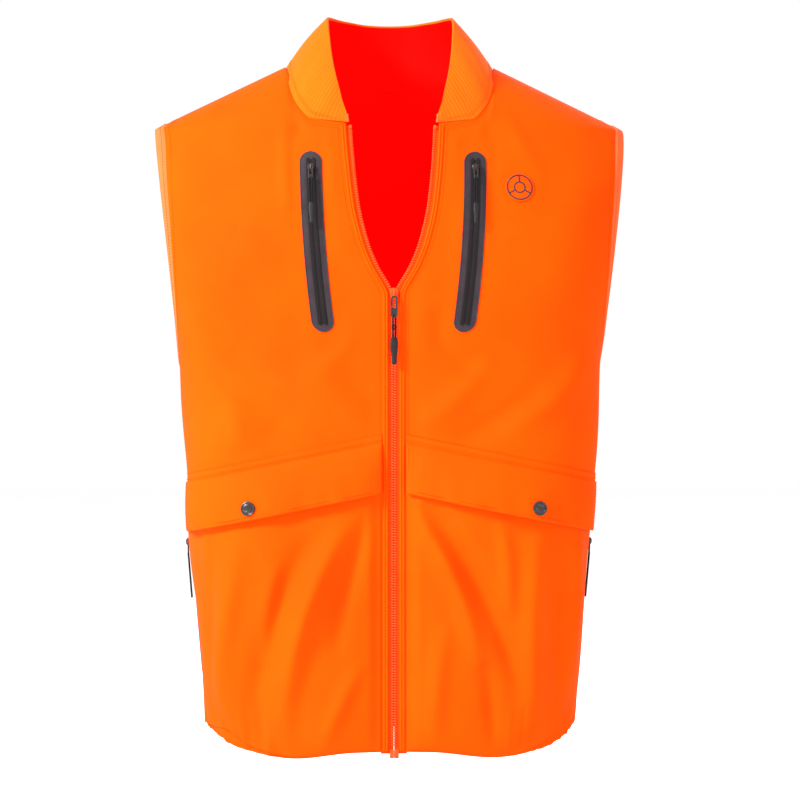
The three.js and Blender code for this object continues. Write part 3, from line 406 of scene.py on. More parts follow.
def relief(p, height):
    """How far the cloth stands off the body at points on it, folds included."""
    x, y, drop = p[..., 0], p[..., 1], -p[..., 2]
    swell = sum(h * np.sin(a * x + b * y - c * drop + phase) for a, b, c, phase, h in SWELLS)
    front = sum(fold(x, drop, line) for line in FRONT_FOLDS)
    back = sum(fold(x, drop, line) for line in BACK_FOLDS)
    fade = ease(np.abs(y), 6, 40)
    gather = np.sin(0.52 * x + 0.9 * y) + 0.6 * np.sin(0.31 * x - 0.47 * y + 1)
    hem = 0.8 * gather * ease(drop, HEM_DROP - 70, HEM_DROP - 16) * ease(np.abs(x), 96, 130)
    return height * calm(x, y, drop) * (swell + np.where(y > 0, back, front) * fade + hem)

# ---- Meshes --------------------------------------------------------------------------------------


def make_object(name, verts, faces, uv=None, smooth_angle=40):
    """A mesh object at the origin from points in millimetres, smooth except at its sharp edges."""
    mesh = bpy.data.meshes.new(name)
    mesh.from_pydata((np.asarray(verts).reshape(-1, 3) * MM).tolist(), [], faces)
    if uv is None:
        uv = np.asarray(verts).reshape(-1, 3)[:, [0, 2]]
    layer = mesh.uv_layers.new(name="Cloth")
    corner = np.zeros(len(mesh.loops), np.int32)
    mesh.loops.foreach_get("vertex_index", corner)
    layer.data.foreach_set("uv", (np.asarray(uv).reshape(-1, 2) * MM)[corner].astype(np.float32).ravel())
    mesh.update()
    mesh.shade_smooth()
    mesh.set_sharp_from_angle(angle=math.radians(smooth_angle))
    obj = bpy.data.objects.new(name, mesh)
    bpy.context.scene.collection.objects.link(obj)
    return obj


def facing_out(verts, faces):
    """The same faces, turned over if they enclose a negative volume."""
    v = np.asarray(verts).reshape(-1, 3)
    v = v - v.mean(0)
    f = np.array([face[:3] for face in faces] + [(face[0], *face[2:4]) for face in faces if len(face) == 4])
    volume = np.einsum("ij,ij->i", v[f[:, 0]], np.cross(v[f[:, 1]], v[f[:, 2]])).sum()
    return faces if volume > 0 else [face[::-1] for face in faces]


def grid_faces(rows, cols, wrap_rows=False, wrap_cols=False):
    """Quads between the points of a grid, closed along either direction if asked."""
    i, j = np.meshgrid(
        np.arange(rows if wrap_rows else rows - 1), np.arange(cols if wrap_cols else cols - 1), indexing="ij"
    )
    i, j = i.ravel(), j.ravel()
    k, m = (i + 1) % rows, (j + 1) % cols
    return np.stack([i * cols + j, i * cols + m, k * cols + m, k * cols + j], 1)


def arc(p, axis):
    """Distance along a grid of points, averaged over its other direction, as texture coordinates."""
    step = np.linalg.norm(np.diff(p, axis=axis), axis=-1)
    length = np.concatenate([np.zeros_like(np.take(step, [0], axis)), np.cumsum(step, axis)], axis)
    return np.broadcast_to(length.mean(axis=1 - axis, keepdims=True), p.shape[:2])


def cloth(name, p, n, lo, hi, pinch=0.35):
    """A closed cloth from a grid of points: its faces lie at offsets lo and hi, and its edges are rounded."""
    rows, cols = p.shape[:2]
    lo, hi = (np.broadcast_to(np.asarray(v, float), (rows, cols)).copy() for v in (lo, hi))
    rim = np.zeros((rows, cols), bool)
    rim[[0, -1]] = True
    rim[:, [0, -1]] = True
    thick = hi - lo
    hi[rim] -= pinch * thick[rim]
    lo[rim] += pinch * thick[rim]
    verts = np.concatenate([(p + n * d[..., None]).reshape(-1, 3) for d in (hi, lo)])
    top = grid_faces(rows, cols)
    under = top[:, ::-1] + rows * cols
    index = np.arange(rows * cols).reshape(rows, cols)
    loop = np.concatenate([index[0], index[1:, -1], index[-1, -2::-1], index[-2::-1, 0]])
    sides = np.stack([loop[1:], loop[:-1], loop[:-1] + rows * cols, loop[1:] + rows * cols], 1)
    faces = np.concatenate([top, under, sides]).tolist()
    uv = np.stack([arc(p, 1), arc(p, 0)], -1).reshape(-1, 2)
    return make_object(name, verts, facing_out(verts, faces), np.concatenate([uv, uv]), 60)


def frames_along(path, closed=False, up=None):
    """Two directions square to a path at each of its points."""
    path = np.asarray(path, float)
    ahead = np.roll(path, -1, 0) - np.roll(path, 1, 0)
    if not closed:
        ahead[0], ahead[-1] = path[1] - path[0], path[-1] - path[-2]
    ahead = unit(ahead)
    guide = np.broadcast_to(np.asarray((0, 0, 1.0) if up is None else up, float), path.shape).copy()
    flat = np.abs((ahead * guide).sum(1)) > 0.97
    guide[flat] = (0, 1.0, 0)
    a = unit(np.cross(ahead, guide))
    return a, np.cross(a, ahead)


def tube(path, radius, sides=8, closed=False, up=None):
    """Verts and faces of a round tube along a path."""
    path = np.asarray(path, float)
    a, b = frames_along(path, closed, up)
    turn = np.linspace(0, 2 * math.pi, sides, endpoint=False)
    ring = a[:, None] * np.cos(turn)[None, :, None] + b[:, None] * np.sin(turn)[None, :, None]
    verts = (path[:, None] + radius * ring).reshape(-1, 3)
    faces = grid_faces(len(path), sides, closed, True).tolist()
    if not closed:
        last = (len(path) - 1) * sides
        faces += [list(range(sides))[::-1], [last + k for k in range(sides)]]
    return verts, facing_out_ngons(verts, faces)


def facing_out_ngons(verts, faces):
    """The same, judged by the quads alone, as the ends of a solid may have more sides."""
    quads = [f for f in faces if len(f) <= 4]
    return faces if facing_out(verts, quads) is quads else [f[::-1] for f in faces]


def joined(*parts):
    """One list of verts and faces from several."""
    verts, faces, count = [], [], 0
    for v, f in parts:
        v = np.asarray(v, float).reshape(-1, 3)
        verts.append(v)
        faces += [[i + count for i in face] for face in f]
        count += len(v)
    return np.concatenate(verts), faces


def hardware_frame(p, up=(0, 0, 1)):
    """Axes on the body surface at a point: x across, y into the body, z up the cloth."""
    inward = -normals(np.asarray(p, float))
    z = np.asarray(up, float)
    z = unit(z - inward * (z @ inward))
    return np.stack([np.cross(inward, z), inward, z], 1), np.asarray(p, float)


def placed(part, axes):
    verts, faces = part
    turn, origin = axes
    verts = np.asarray(verts, float).reshape(-1, 3) @ turn.T + origin
    return verts, facing_out_ngons(verts, faces)


def loft(sections, sides=20, power=2.6):
    """A moulded body through sections (z, half width, half thickness, y), rounded off at both ends."""
    turn = np.linspace(0, 2 * math.pi, sides, endpoint=False)
    c, s = np.cos(turn), np.sin(turn)
    ring = np.stack([np.sign(c) * np.abs(c) ** (2 / power), np.sign(s) * np.abs(s) ** (2 / power)], 1)
    verts = np.concatenate([
        np.stack([w * ring[:, 0], y + t * ring[:, 1], np.full(sides, z)], 1) for z, w, t, y in sections
    ])
    faces = grid_faces(len(sections), sides, False, True).tolist()
    last = (len(sections) - 1) * sides
    faces += [list(range(sides))[::-1], [last + k for k in range(sides)]]
    return verts, facing_out_ngons(verts, faces)


def slab(outline_points, near, far, bevel=0.35):
    """A flat plate with rounded edges from an outline of (x, z): near and far are heights off the cloth."""
    edge = np.asarray(outline_points, float)
    centre = edge.mean(0)
    inset = edge + unit(centre - edge) * bevel
    rings = [(inset, near), (edge, near + bevel), (edge, far - bevel), (inset, far)]
    verts = np.concatenate([np.stack([e[:, 0], np.full(len(e), -h), e[:, 1]], 1) for e, h in rings])
    faces = grid_faces(4, len(edge), False, True).tolist()
    faces += [list(range(len(edge)))[::-1], [3 * len(edge) + k for k in range(len(edge))]]
    return verts, facing_out_ngons(verts, faces)


def rounded_outline(wide, tall, radius, x=0, z=0, steps=6):
    corners = ((1, 1, 0), (-1, 1, 1), (-1, -1, 2), (1, -1, 3))
    turn = np.linspace(0, math.pi / 2, steps)
    return np.concatenate([
        np.stack([
            x + sx * (wide / 2 - radius) + radius * np.cos(turn + q * math.pi / 2),
            z + sz * (tall / 2 - radius) + radius * np.sin(turn + q * math.pi / 2),
        ], 1)
        for sx, sz, q in corners
    ])


def turned(profile, segments=40):
    """A body turned about the frame's y axis from (radius, height off the cloth) points."""
    profile = np.asarray(profile, float)
    turn = np.linspace(0, 2 * math.pi, segments, endpoint=False)
    verts = np.stack([
        profile[:, :1] * np.cos(turn), np.broadcast_to(-profile[:, 1:], (len(profile), segments)),
        profile[:, :1] * np.sin(turn),
    ], -1).reshape(-1, 3)
    faces = grid_faces(len(profile), segments, False, True).tolist()
    last = (len(profile) - 1) * segments
    faces += [list(range(segments))[::-1], [last + k for k in range(segments)]]
    return verts, facing_out_ngons(verts, faces)


def edged(count, margin=0.004):
    """Even shares from 0 to 1 with one more close to each end, where an edge is rounded."""
    return np.concatenate([[0, margin], np.linspace(0, 1, count)[1:-1], [1 - margin, 1]])


# ---- Rows of stitches and teeth ------------------------------------------------------------------


def row_tree():
    """Sets a small solid at even steps along paths, turned along them, and stands it on the surface."""
    tree = bpy.data.node_groups.new("Row along a path", "GeometryNodeTree")
    face = tree.interface
    face.new_socket("Geometry", in_out="OUTPUT", socket_type="NodeSocketGeometry")
    face.new_socket("Geometry", in_out="INPUT", socket_type="NodeSocketGeometry")
    face.new_socket("Spacing", in_out="INPUT", socket_type="NodeSocketFloat")
    face.new_socket("Size", in_out="INPUT", socket_type="NodeSocketVector")
    face.new_socket("Tooth", in_out="INPUT", socket_type="NodeSocketBool")
    face.new_socket("Material", in_out="INPUT", socket_type="NodeSocketMaterial")

    def node(kind, settings=(), **values):
        made = tree.nodes.new(kind)
        for key, value in dict(settings).items():
            setattr(made, key, value)
        for key, value in values.items():
            socket = made.inputs[key.strip("_").replace("_", " ")]
            if isinstance(value, bpy.types.NodeSocket):
                tree.links.new(value, socket)
            else:
                socket.default_value = value
        return made

    given = tree.nodes.new("NodeGroupInput").outputs
    curve = node("GeometryNodeMeshToCurve", Mesh=given["Geometry"]).outputs[0]
    steps = node("GeometryNodeResampleCurve", {"mode": "LENGTH"}, Curve=curve, Length=given["Spacing"])
    tangent = node("GeometryNodeInputTangent").outputs[0]
    stand = node("GeometryNodeInputNamedAttribute", {"data_type": "FLOAT_VECTOR"}, Name="stand").outputs[0]
    along = node("FunctionNodeAlignRotationToVector", {"axis": "X"}, Vector=tangent).outputs[0]
    turn = node(
        "FunctionNodeAlignRotationToVector", {"axis": "Z", "pivot_axis": "X"}, Rotation=along, Vector=stand
    ).outputs[0]
    bead = node("GeometryNodeMeshIcoSphere", Radius=0.5, Subdivisions=1).outputs[0]
    cube = node("GeometryNodeMeshCube", Size=(1, 1, 1)).outputs[0]
    block = node("GeometryNodeSubdivisionSurface", Mesh=cube, Level=1, Edge_Crease=0.55).outputs[0]
    shape = node(
        "GeometryNodeSwitch", {"input_type": "GEOMETRY"}, Switch=given["Tooth"], False_=bead, True_=block
    )
    row = node(
        "GeometryNodeInstanceOnPoints", Points=steps.outputs[0], Instance=shape.outputs[0], Rotation=turn,
        Scale=given["Size"],
    ).outputs[0]
    real = node("GeometryNodeRealizeInstances", Geometry=row).outputs[0]
    round_ = node("GeometryNodeSetShadeSmooth", Geometry=real).outputs[0]
    painted = node("GeometryNodeSetMaterial", Geometry=round_, Material=given["Material"]).outputs[0]
    out = tree.nodes.new("NodeGroupOutput")
    tree.links.new(painted, out.inputs[0])
    return tree


def row(name, paths, spacing, size, material, tooth=False):
    """A plain mesh of stitches or teeth along paths, each a pair of points and outward directions."""
    verts, stands, edges = [], [], []
    for p, n in paths:
        first = sum(len(v) for v in verts)
        verts.append(np.asarray(p, float))
        stands.append(np.broadcast_to(n, verts[-1].shape))
        edges += [(first + k, first + k + 1) for k in range(len(p) - 1)]
    mesh = bpy.data.meshes.new(name)
    mesh.from_pydata((np.concatenate(verts) * MM).tolist(), edges, [])
    stand = mesh.attributes.new("stand", "FLOAT_VECTOR", "POINT")
    stand.data.foreach_set("vector", np.concatenate(stands).astype(np.float32).ravel())
    source = bpy.data.objects.new(name + "_path", mesh)
    bpy.context.scene.collection.objects.link(source)
    tree = bpy.data.node_groups.get("Row along a path") or row_tree()
    modifier = source.modifiers.new("Row", "NODES")
    modifier.node_group = tree
    values = {"Spacing": spacing * MM, "Size": [s * MM for s in size], "Tooth": tooth, "Material": material}
    for item in tree.interface.items_tree:
        if item.item_type == "SOCKET" and item.name in values:
            modifier[item.identifier] = values[item.name]
    graph = bpy.context.evaluated_depsgraph_get()
    made = bpy.data.meshes.new_from_object(source.evaluated_get(graph), depsgraph=graph)
    bpy.data.objects.remove(source)
    if "stand" in made.attributes:
        made.attributes.remove(made.attributes["stand"])
    obj = bpy.data.objects.new(name, made)
    bpy.context.scene.collection.objects.link(obj)
    if not made.materials:
        made.materials.append(material)
    return obj


# ---- Shader expressions --------------------------------------------------------------------------


class Value:
    """A number in a shader. Arithmetic on it adds Math nodes."""

    def __init__(self, finish, socket):
        self.finish, self.socket = finish, socket

    def __add__(self, other):
        return self.finish.math("ADD", self, other)

    def __sub__(self, other):
        return self.finish.math("SUBTRACT", self, other)

    def __rsub__(self, other):
        return self.finish.math("SUBTRACT", other, self)

    def __mul__(self, other):
        return self.finish.math("MULTIPLY", self, other)

    __radd__, __rmul__ = __add__, __mul__


class Finish:
    """One material: a shader on its own output, and the nodes that feed it."""

    def __init__(self, name, roughness, **plain):
        self.material = bpy.data.materials.new(name)
        self.material.use_nodes = True
        self.tree = self.material.node_tree
        self.shader = self.tree.nodes["Principled BSDF"]
        self.feed(self.shader, {"Roughness": roughness, **{k.replace("_", " "): v for k, v in plain.items()}})
        self.place = self.tree.nodes.new("ShaderNodeTexCoord")

    def feed(self, node, values):
        for key, value in values.items():
            socket = node.inputs[key]
            if isinstance(value, Value):
                self.tree.links.new(value.socket, socket)
            elif isinstance(value, tuple) and socket.type == "RGBA":
                socket.default_value = (*value[:3], 1)
            else:
                socket.default_value = value

    def node(self, kind, settings=None, values=None, out=0):
        made = self.tree.nodes.new(kind)
        for key, value in (settings or {}).items():
            setattr(made, key, value)
        self.feed(made, values or {})
        return Value(self, made.outputs[out])

    def math(self, operation, a, b=0.0):
        made = self.tree.nodes.new("ShaderNodeMath")
        made.operation = operation
        for socket, value in zip(made.inputs, (a, b)):
            if isinstance(value, Value):
                self.tree.links.new(value.socket, socket)
            else:
                socket.default_value = value
        return Value(self, made.outputs[0])

    def wave(self, value, pitch):
        """A sine of a length in metres that repeats each pitch in millimetres."""
        return self.math("SINE", value * (2 * math.pi / (pitch * MM)))

    def where(self, space):
        """The coordinates of a space as three numbers."""
        made = self.tree.nodes.new("ShaderNodeSeparateXYZ")
        self.tree.links.new(self.place.outputs[space], made.inputs[0])
        return [Value(self, made.outputs[k]) for k in range(3)]

    def noise(self, scale, detail=3, space="Object", roughness=0.5):
        values = {"Scale": scale, "Detail": detail, "Roughness": roughness}
        made = self.node("ShaderNodeTexNoise", None, values)
        self.tree.links.new(self.place.outputs[space], made.socket.node.inputs["Vector"])
        return made

    def between(self, low, high, value):
        """value taken from 0..1 between two levels."""
        return self.node("ShaderNodeMapRange", {"clamp": True}, {
            "Value": value, "From Min": low, "From Max": high,
        })

    def blend(self, a, b, share):
        """A colour between a and b."""
        made = self.tree.nodes.new("ShaderNodeMix")
        made.data_type = "RGBA"
        for key, value in ((0, share), (6, a), (7, b)):
            socket = made.inputs[key]
            if isinstance(value, Value):
                self.tree.links.new(value.socket, socket)
            elif key == 0:
                socket.default_value = value
            else:
                socket.default_value = (*value[:3], 1)
        return Value(self, made.outputs[2])

    def bump(self, height, strength, distance):
        values = {"Height": height, "Strength": strength, "Distance": distance * MM}
        made = self.node("ShaderNodeBump", None, values)
        self.feed(self.shader, {"Normal": made})

    def colour(self, value):
        self.feed(self.shader, {"Base Color": value})


def shade(colour, factor):
    return tuple(min(1.0, c * factor) for c in colour[:3])


def woven_finish(name, colour, pitch, roughness=0.78, sheen=0.0, glow=0.0, depth=1.0, mottle=0.12):
    """Plain weave with uneven yarns, slight shade changes from place to place, and a soft sheen."""
    f = Finish(name, roughness, Sheen_Weight=sheen, Sheen_Roughness=0.5, Specular_IOR_Level=0.03)
    u, v, _ = f.where("UV")
    yarn = f.noise(2400, 2)
    weave = f.wave(u, pitch) * f.wave(v, pitch)
    patch = f.noise(9, 4, roughness=0.6)
    shaded = f.blend(shade(colour, 1 - mottle), shade(colour, 1 + mottle), f.between(0.3, 0.7, patch))
    speck = f.between(0.35, 0.75, yarn * 0.6 + weave * 0.2 + 0.2)
    f.colour(f.blend(shaded, shade(colour, 1.16), speck * 0.35))
    f.feed(f.shader, {"Roughness": f.between(0.2, 0.8, yarn) * 0.16 + (roughness - 0.08)})
    f.bump(weave * 0.35 + yarn * 0.9 + f.noise(420, 3) * 0.8, 0.32 * depth, 0.35)
    if glow:
        f.feed(f.shader, {"Emission Color": shaded, "Emission Strength": glow})
    return f.material


def knitted_finish(name, colour, rib, roughness=0.85, glow=0.0):
    """Rib knit: fine courses leaning across the ribs, with fuzz and a lighter crown on each rib."""
    f = Finish(name, roughness, Sheen_Weight=0.02, Sheen_Roughness=0.45, Specular_IOR_Level=0.05)
    u, v, _ = f.where("UV")
    ribs = f.wave(u, rib)
    courses = f.wave(v + u * 0.7, 1.3) * f.wave(v - u * 0.7, 1.3)
    fuzz = f.noise(1800, 3)
    patch = f.noise(14, 3)
    shaded = f.blend(shade(colour, 0.86), shade(colour, 1.1), f.between(0.3, 0.7, patch))
    # Painted highlight: crown lightens each rib's crown as if lit, mixed with lighter fuzz and the courses'
    # pattern.
    crown = f.between(0.1, 1.0, ribs * 0.35 + courses * 0.3 + fuzz * 0.5)
    f.colour(f.blend(shaded, shade(colour, 1.3), crown))
    f.bump(ribs * 0.6 + courses * 0.45 + fuzz * 0.5, 0.5, 0.5)
    if glow:
        f.feed(f.shader, {"Emission Color": shaded, "Emission Strength": glow})
    return f.material


def moulded_finish(name, colour, roughness=0.42, metallic=0.0, grain=900, wear=0.0, glow=0.0):
    """Moulded plastic or painted metal: a fine grain, uneven gloss, and wear where it is handled."""
    f = Finish(name, roughness, Metallic=metallic, Specular_IOR_Level=0.22)
    fine, slow = f.noise(grain, 3), f.noise(60, 3)
    base = f.blend(shade(colour, 0.85), shade(colour, 1.15), f.between(0.3, 0.7, slow))
    if wear:
        rubbed = f.between(0.58, 0.72, f.noise(240, 4, roughness=0.7))
        base = f.blend(base, (0.32, 0.3, 0.28), rubbed * wear)
    f.colour(base)
    f.feed(f.shader, {"Roughness": f.between(0.2, 0.8, slow) * 0.2 + (roughness - 0.1)})
    f.bump(fine, 0.25, 0.12)
    if glow:
        f.feed(f.shader, {"Emission Color": base, "Emission Strength": glow})
    return f.material

# ---- The user's settings -------------------------------------------------------------------------


def colour_property(name, description, default):
    return bpy.props.FloatVectorProperty(
        name=name, description=description, default=default, subtype="COLOR", size=3, min=0, max=1
    )


class VestColours(bpy.types.PropertyGroup):
    shell: colour_property("Outer cloth", "Blaze orange of the body, pockets and flaps", (0.98, 0.057, 0.0))
    thread: colour_property("Thread", "Thread of the topstitching", (0.9, 0.032, 0.0))
    # The lining's red is painted shade: the cloth inside is orange, coloured here as it looks in shadow.
    lining: colour_property("Lining", "Cloth inside the body and collar", (0.92, 0.0006, 0.0))
    collar: colour_property("Collar", "Rib knit of the collar", (0.98, 0.095, 0.002))
    binding: colour_property("Binding", "Knitted edge of the armholes", (0.98, 0.11, 0.03))
    tape: colour_property("Zip tape", "Tape and teeth of the main zip", (0.97, 0.05, 0.003))
    laminate: colour_property("Laminate", "Film round the chest and side zips", (0.022, 0.0155, 0.0195))
    channel: colour_property("Channel", "Zips inside the film", (0.011, 0.008, 0.009))
    metal: colour_property("Snaps", "Painted metal of the snaps and small sliders", (0.04, 0.034, 0.033))
    cord: colour_property("Cord", "Pull cords and grips", (0.009, 0.008, 0.009))


class VestSizes(bpy.types.PropertyGroup):
    cloth: bpy.props.FloatProperty(
        name="Cloth", description="Thickness of the shell cloth in millimetres", default=1.2, min=0.4, max=1.8
    )
    folds: bpy.props.FloatProperty(
        name="Folds", description="Height of the folds, where 1 is as worn", default=1.0, min=0, max=1.3
    )
    weave: bpy.props.FloatProperty(
        name="Weave", description="Pitch of the shell's weave in millimetres", default=0.9, min=0.4, max=3
    )
    stitch: bpy.props.FloatProperty(
        name="Stitch", description="Length of one stitch in millimetres", default=2.4, min=1, max=6
    )
    tooth_pitch: bpy.props.FloatProperty(
        name="Tooth pitch", description="Distance between teeth of the main zip in millimetres", default=2.6,
        min=1.5, max=5,
    )


def colours():
    return bpy.context.scene.vest_colours


def sizes():
    return bpy.context.scene.vest_sizes


# Painted glow: shell, lining, collar, binding, zip tape, zip teeth, thread and badge ground all give off a
# little light.
FINISHES = {
    "shell": lambda: woven_finish("Outer cloth", tuple(colours().shell), sizes().weave, glow=GLOW),
    # Painted shade: the lining, hem band, chest bags and neck loop take the orange's shadow red.
    "lining": lambda: woven_finish("Lining in painted shade", tuple(colours().lining), 0.7, 0.7, 0.0, 0.06, 0.6, 0.1),
    "collar_knit": lambda: knitted_finish("Collar knit", tuple(colours().collar), 4.2, glow=GLOW),
    "binding": lambda: knitted_finish("Binding knit", tuple(colours().binding), 2.2, glow=GLOW),
    "zip_tape": lambda: woven_finish("Zip tape", tuple(colours().tape), 1.2, 0.75, 0.0, 0.05, 1.4),
    "zip_moulded": lambda: moulded_finish("Zip teeth", shade(tuple(colours().tape), 1.1), 0.38, glow=0.1),
    "laminate": lambda: moulded_finish("Welded film", tuple(colours().laminate), 0.5, grain=1500),
    "film_edge": lambda: moulded_finish("Film edge", shade(tuple(colours().laminate), 1.7), 0.45, grain=1500),
    "channel": lambda: woven_finish("Zip channel", tuple(colours().channel), 0.8, 0.6, 0.1, 0, 1.5, 0.3),
    "dark_metal": lambda: moulded_finish("Painted metal", tuple(colours().metal), 0.36, 0.55, 500, 0.5),
    "dark_moulded": lambda: moulded_finish("Moulded grip", tuple(colours().cord), 0.55, 0, 1200, 0.06),
    "cord": lambda: knitted_finish("Braided cord", tuple(colours().cord), 1.4),
    "mark": lambda: woven_finish("Badge thread", (0.028, 0.024, 0.026), 0.8, 0.5, 0.2, 0, 1.2, 0.2),
    "thread": lambda: woven_finish("Thread", tuple(colours().thread), 0.6, 0.65, 0.02, 0.05),
    "print": lambda: woven_finish("Badge ground", tuple(colours().shell), 1.1, 0.75, 0.0, 0.05, 1.2),
}
_made = {}


def finish(name):
    if name not in _made:
        _made[name] = FINISHES[name]()
    return _made[name]


def dress(obj, body, slot, nodes=(), paint=None):
    """Gives a piece its finish and its body, and hides the frame's nodes that it stands for."""
    obj.data.materials.clear()
    obj.data.materials.append(finish(paint or slot))
    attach(obj, body)
    if nodes:
        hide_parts(*nodes)
    return obj


def cut(obj, p, *rests_on):
    """Declares a cloth whose flat cut is the smooth body surface it was fitted on, before its folds."""
    right, down = p[:-1, 1:] - p[:-1, :-1], p[1:, :-1] - p[:-1, :-1]


def made_of(name, part, body, slot, nodes=(), paint=None, smooth_angle=35):
    verts, faces = part
    return dress(make_object(name, verts, faces, smooth_angle=smooth_angle), body, slot, nodes, paint)


def worn(p):
    """Points of the worn cloth and its outward directions, from points on the body surface."""
    n = normals(p)
    return p + n * relief(p, FOLD_SCALE * sizes().folds)[..., None], n


def sewn(name, paths):
    """Topstitching along paths, with stitches of the user's length."""
    length = sizes().stitch
    return row(name, paths, length * STITCH_STEP, (length, STITCH_WIDTH, STITCH_HEIGHT), finish("thread"))


def line(p, lift=0.15):
    """A seam line on the worn cloth, as a path for stitches."""
    q, n = worn(p)
    return q + n * lift, n


# ---- Shell, linings, collar and bindings ---------------------------------------------------------

FRONT_SHARES, BACK_SHARES, DOWNS = edged(72), edged(128), edged(230, 0.0015)


def spread(shares):
    """Shares across the whole back, from -1 at one side seam to 1 at the other."""
    return shares * 2 - 1


def back_points(shares, downs):
    shares, downs = np.meshgrid(shares, downs)
    return panel_points(np.where(shares < 0, -1, 1), np.abs(shares), downs, True)


def front_points(side, shares, downs):
    shares, downs = np.meshgrid(shares, downs)
    return panel_points(side, shares, downs)


def make_shell():
    """The fronts and the back."""
    thick = sizes().cloth
    for name, side in SIDES:
        flat = front_points(side, FRONT_SHARES, DOWNS)
        p, n = worn(flat)
        front = cloth(f"{name}_front", p, n, -thick, 0)
        cut(dress(front, "garment", "shell", [f"{name}_front_panel"]), flat, "back")
    flat = back_points(spread(BACK_SHARES), DOWNS)
    p, n = worn(flat)
    back = cloth("back", p, n, -thick, 0)
    cut(dress(back, "garment", "shell", ["back_panel"]), flat, "left_front", "right_front")


def make_lining():
    """The linings, the chest bags and the neck loop."""
    downs = np.linspace(0.004, 0.975, 120)
    for name, side in SIDES:
        flat = front_points(side, np.linspace(0.03, 0.995, 44), downs)
        p, n = worn(flat)
        piece = cloth(f"{name}_front_inside", p, n, LINING_TOP - 0.6, LINING_TOP)
        cut(dress(piece, "garment", "lining", [f"{name}_front_lining"]), flat, f"{name}_front")
        u, v = np.meshgrid(np.linspace(54, 120, 24), np.linspace(118, 330, 60))
        p, n = worn(on_front(side * u, v))
        swell = np.sin(np.linspace(0, math.pi, 24))[None, :] * np.sin(np.linspace(0, math.pi, 60))[:, None]
        bag = cloth(f"{name}_chest_bag", p, n, -5.0 - 0.9 * swell, -4.1 - 0.3 * swell)
        cut(dress(bag, "garment", "lining", [f"{name}_chest_pocket_bag"]), p, f"{name}_front")
    flat = back_points(np.linspace(-0.995, 0.995, 90), downs)
    p, n = worn(flat)
    slack = 0.5 * np.sin(p[..., 0] / 19 + 0.6 * np.sin(p[..., 2] / 60)) * ease(-p[..., 2], 30, 90)
    inside = cloth("back_inside", p, n, LINING_TOP - 1.2 - slack, LINING_TOP - 0.6 - slack)
    cut(dress(inside, "garment", "lining", ["back_lining"]), flat, "back")
    x, v = np.meshgrid(np.linspace(-9, 9, 19), np.linspace(26, 20, 7))
    p, n = worn(on_back(x, v))
    belly = 1.2 * np.cos(np.linspace(-1, 1, 19) * math.pi / 2)[None, :]
    loop = cloth("neck_loop", p, n, -5.0 - belly, -4.1 - belly)
    dress(loop, "garment", "lining", ["hanger_loop"])


def spline(control, count):
    """A smooth open path through control points, evenly counted between them."""
    c = np.asarray(control, float)
    c = np.concatenate([2 * c[:1] - c[1:2], c, 2 * c[-1:] - c[-2:-1]])
    t = np.linspace(0, len(control) - 1, count)
    i = np.minimum(t.astype(int), len(control) - 2)
    u = (t - i)[:, None]
    a, b, d, e = c[i], c[i + 1], c[i + 2], c[i + 3]
    return 0.5 * (2 * b + (d - a) * u + (2 * a - 5 * b + 4 * d - e) * u**2 + (3 * b - a - 3 * d + e) * u**3)


def collar_curves():
    """The neck seam and the collar's top edge, from the left front corner round to the right one."""
    seam = [on_front(x, front_neck(max(x, NECK_CORNER_X)) - 1.2) for x in (44.5, 56, 70, 82, 91, 97.5, 102)]
    seam.append(np.array([NECK_HALF - 1, 0, 0]))
    seam += [on_back(x, top_drop(x, True) - 1.2) for x in (98, 86, 70, 52, 34, 17, 0)]
    h = COLLAR_TOP_HALF
    top = np.array([
        (0.72 * h, -84, -57), (0.79 * h, -79, -44), (0.84 * h, -73, -30), (0.9 * h, -66, -14),
        (0.95 * h, -58, 4),
        (0.98 * h, -48, 22), (h, -36, 38), (h, -22, COLLAR_TOP - 3), (0.97 * h, -4, COLLAR_TOP),
        (0.9 * h, 16, COLLAR_TOP + 1.5), (0.78 * h, 32, COLLAR_TOP + 1.5), (0.6 * h, 45, COLLAR_TOP + 1),
        (0.4 * h, 54, COLLAR_TOP), (0.2 * h, 58, COLLAR_TOP - 0.5), (0, 60, COLLAR_TOP - 0.5),
    ])
    mirror = np.array([-1, 1, 1])
    seam = np.array(seam)
    return np.concatenate([seam, seam[-2::-1] * mirror]), np.concatenate([top, top[-2::-1] * mirror])


def collar_grid(heights, count=220):
    """Points of the bulging collar at shares of its height, and its outward directions."""
    seam, top = (spline(c, count) for c in collar_curves())
    h = np.asarray(heights)[:, None, None]
    q = seam + (top - seam) * h
    outward = unit((q + (0, 10, 0)) * (1, 1, 0))
    tall = np.linalg.norm(top - seam, axis=-1)[None, :, None]
    q = q + outward * np.sin(math.pi * np.clip(h, 0, 1)) * 0.04 * tall
    along, up = np.gradient(q, axis=1), np.gradient(q, axis=0)
    n = unit(np.cross(along, up))
    flip = np.sign((n[..., :2] * (q + (0, 10, 0))[..., :2]).sum(-1))
    n = n * np.where(flip == 0, 1, flip)[..., None]
    t = np.linspace(0, 1, count)[None, :]
    ripple = 0.5 * np.sin(41 * t + 2 * h[..., 0]) + 0.35 * np.sin(83 * t + 1)
    soft = ripple * np.sin(math.pi * np.clip(h[..., 0], 0, 1)) ** 0.7
    return q + n * soft[..., None], n


def make_collar():
    """The collar, its lining and its piping."""
    q, n = collar_grid(mix(-0.035, 1, edged(30, 0.01)))
    collar = cloth("collar", q, n, -1.1, 1.1, pinch=0.42)
    cut(dress(collar, "garment", "collar_knit", ["collar_shell"]), q, "left_front", "right_front", "back")
    q, n = collar_grid(np.linspace(-0.09, 0.975, 26))
    cut(dress(cloth("collar_inside", q, n, -2.2, -1.4), "garment", "lining", ["collar_lining"]), q, "collar")
    q, n = collar_grid(np.linspace(0.0, 1.0, 30))
    edges = [q[:, column] + n[:, column] * 0.2 for column in (0, -1)]
    made_of("collar_piping", joined(*(tube(edge, 1.15, 10) for edge in edges)), "garment", "binding")


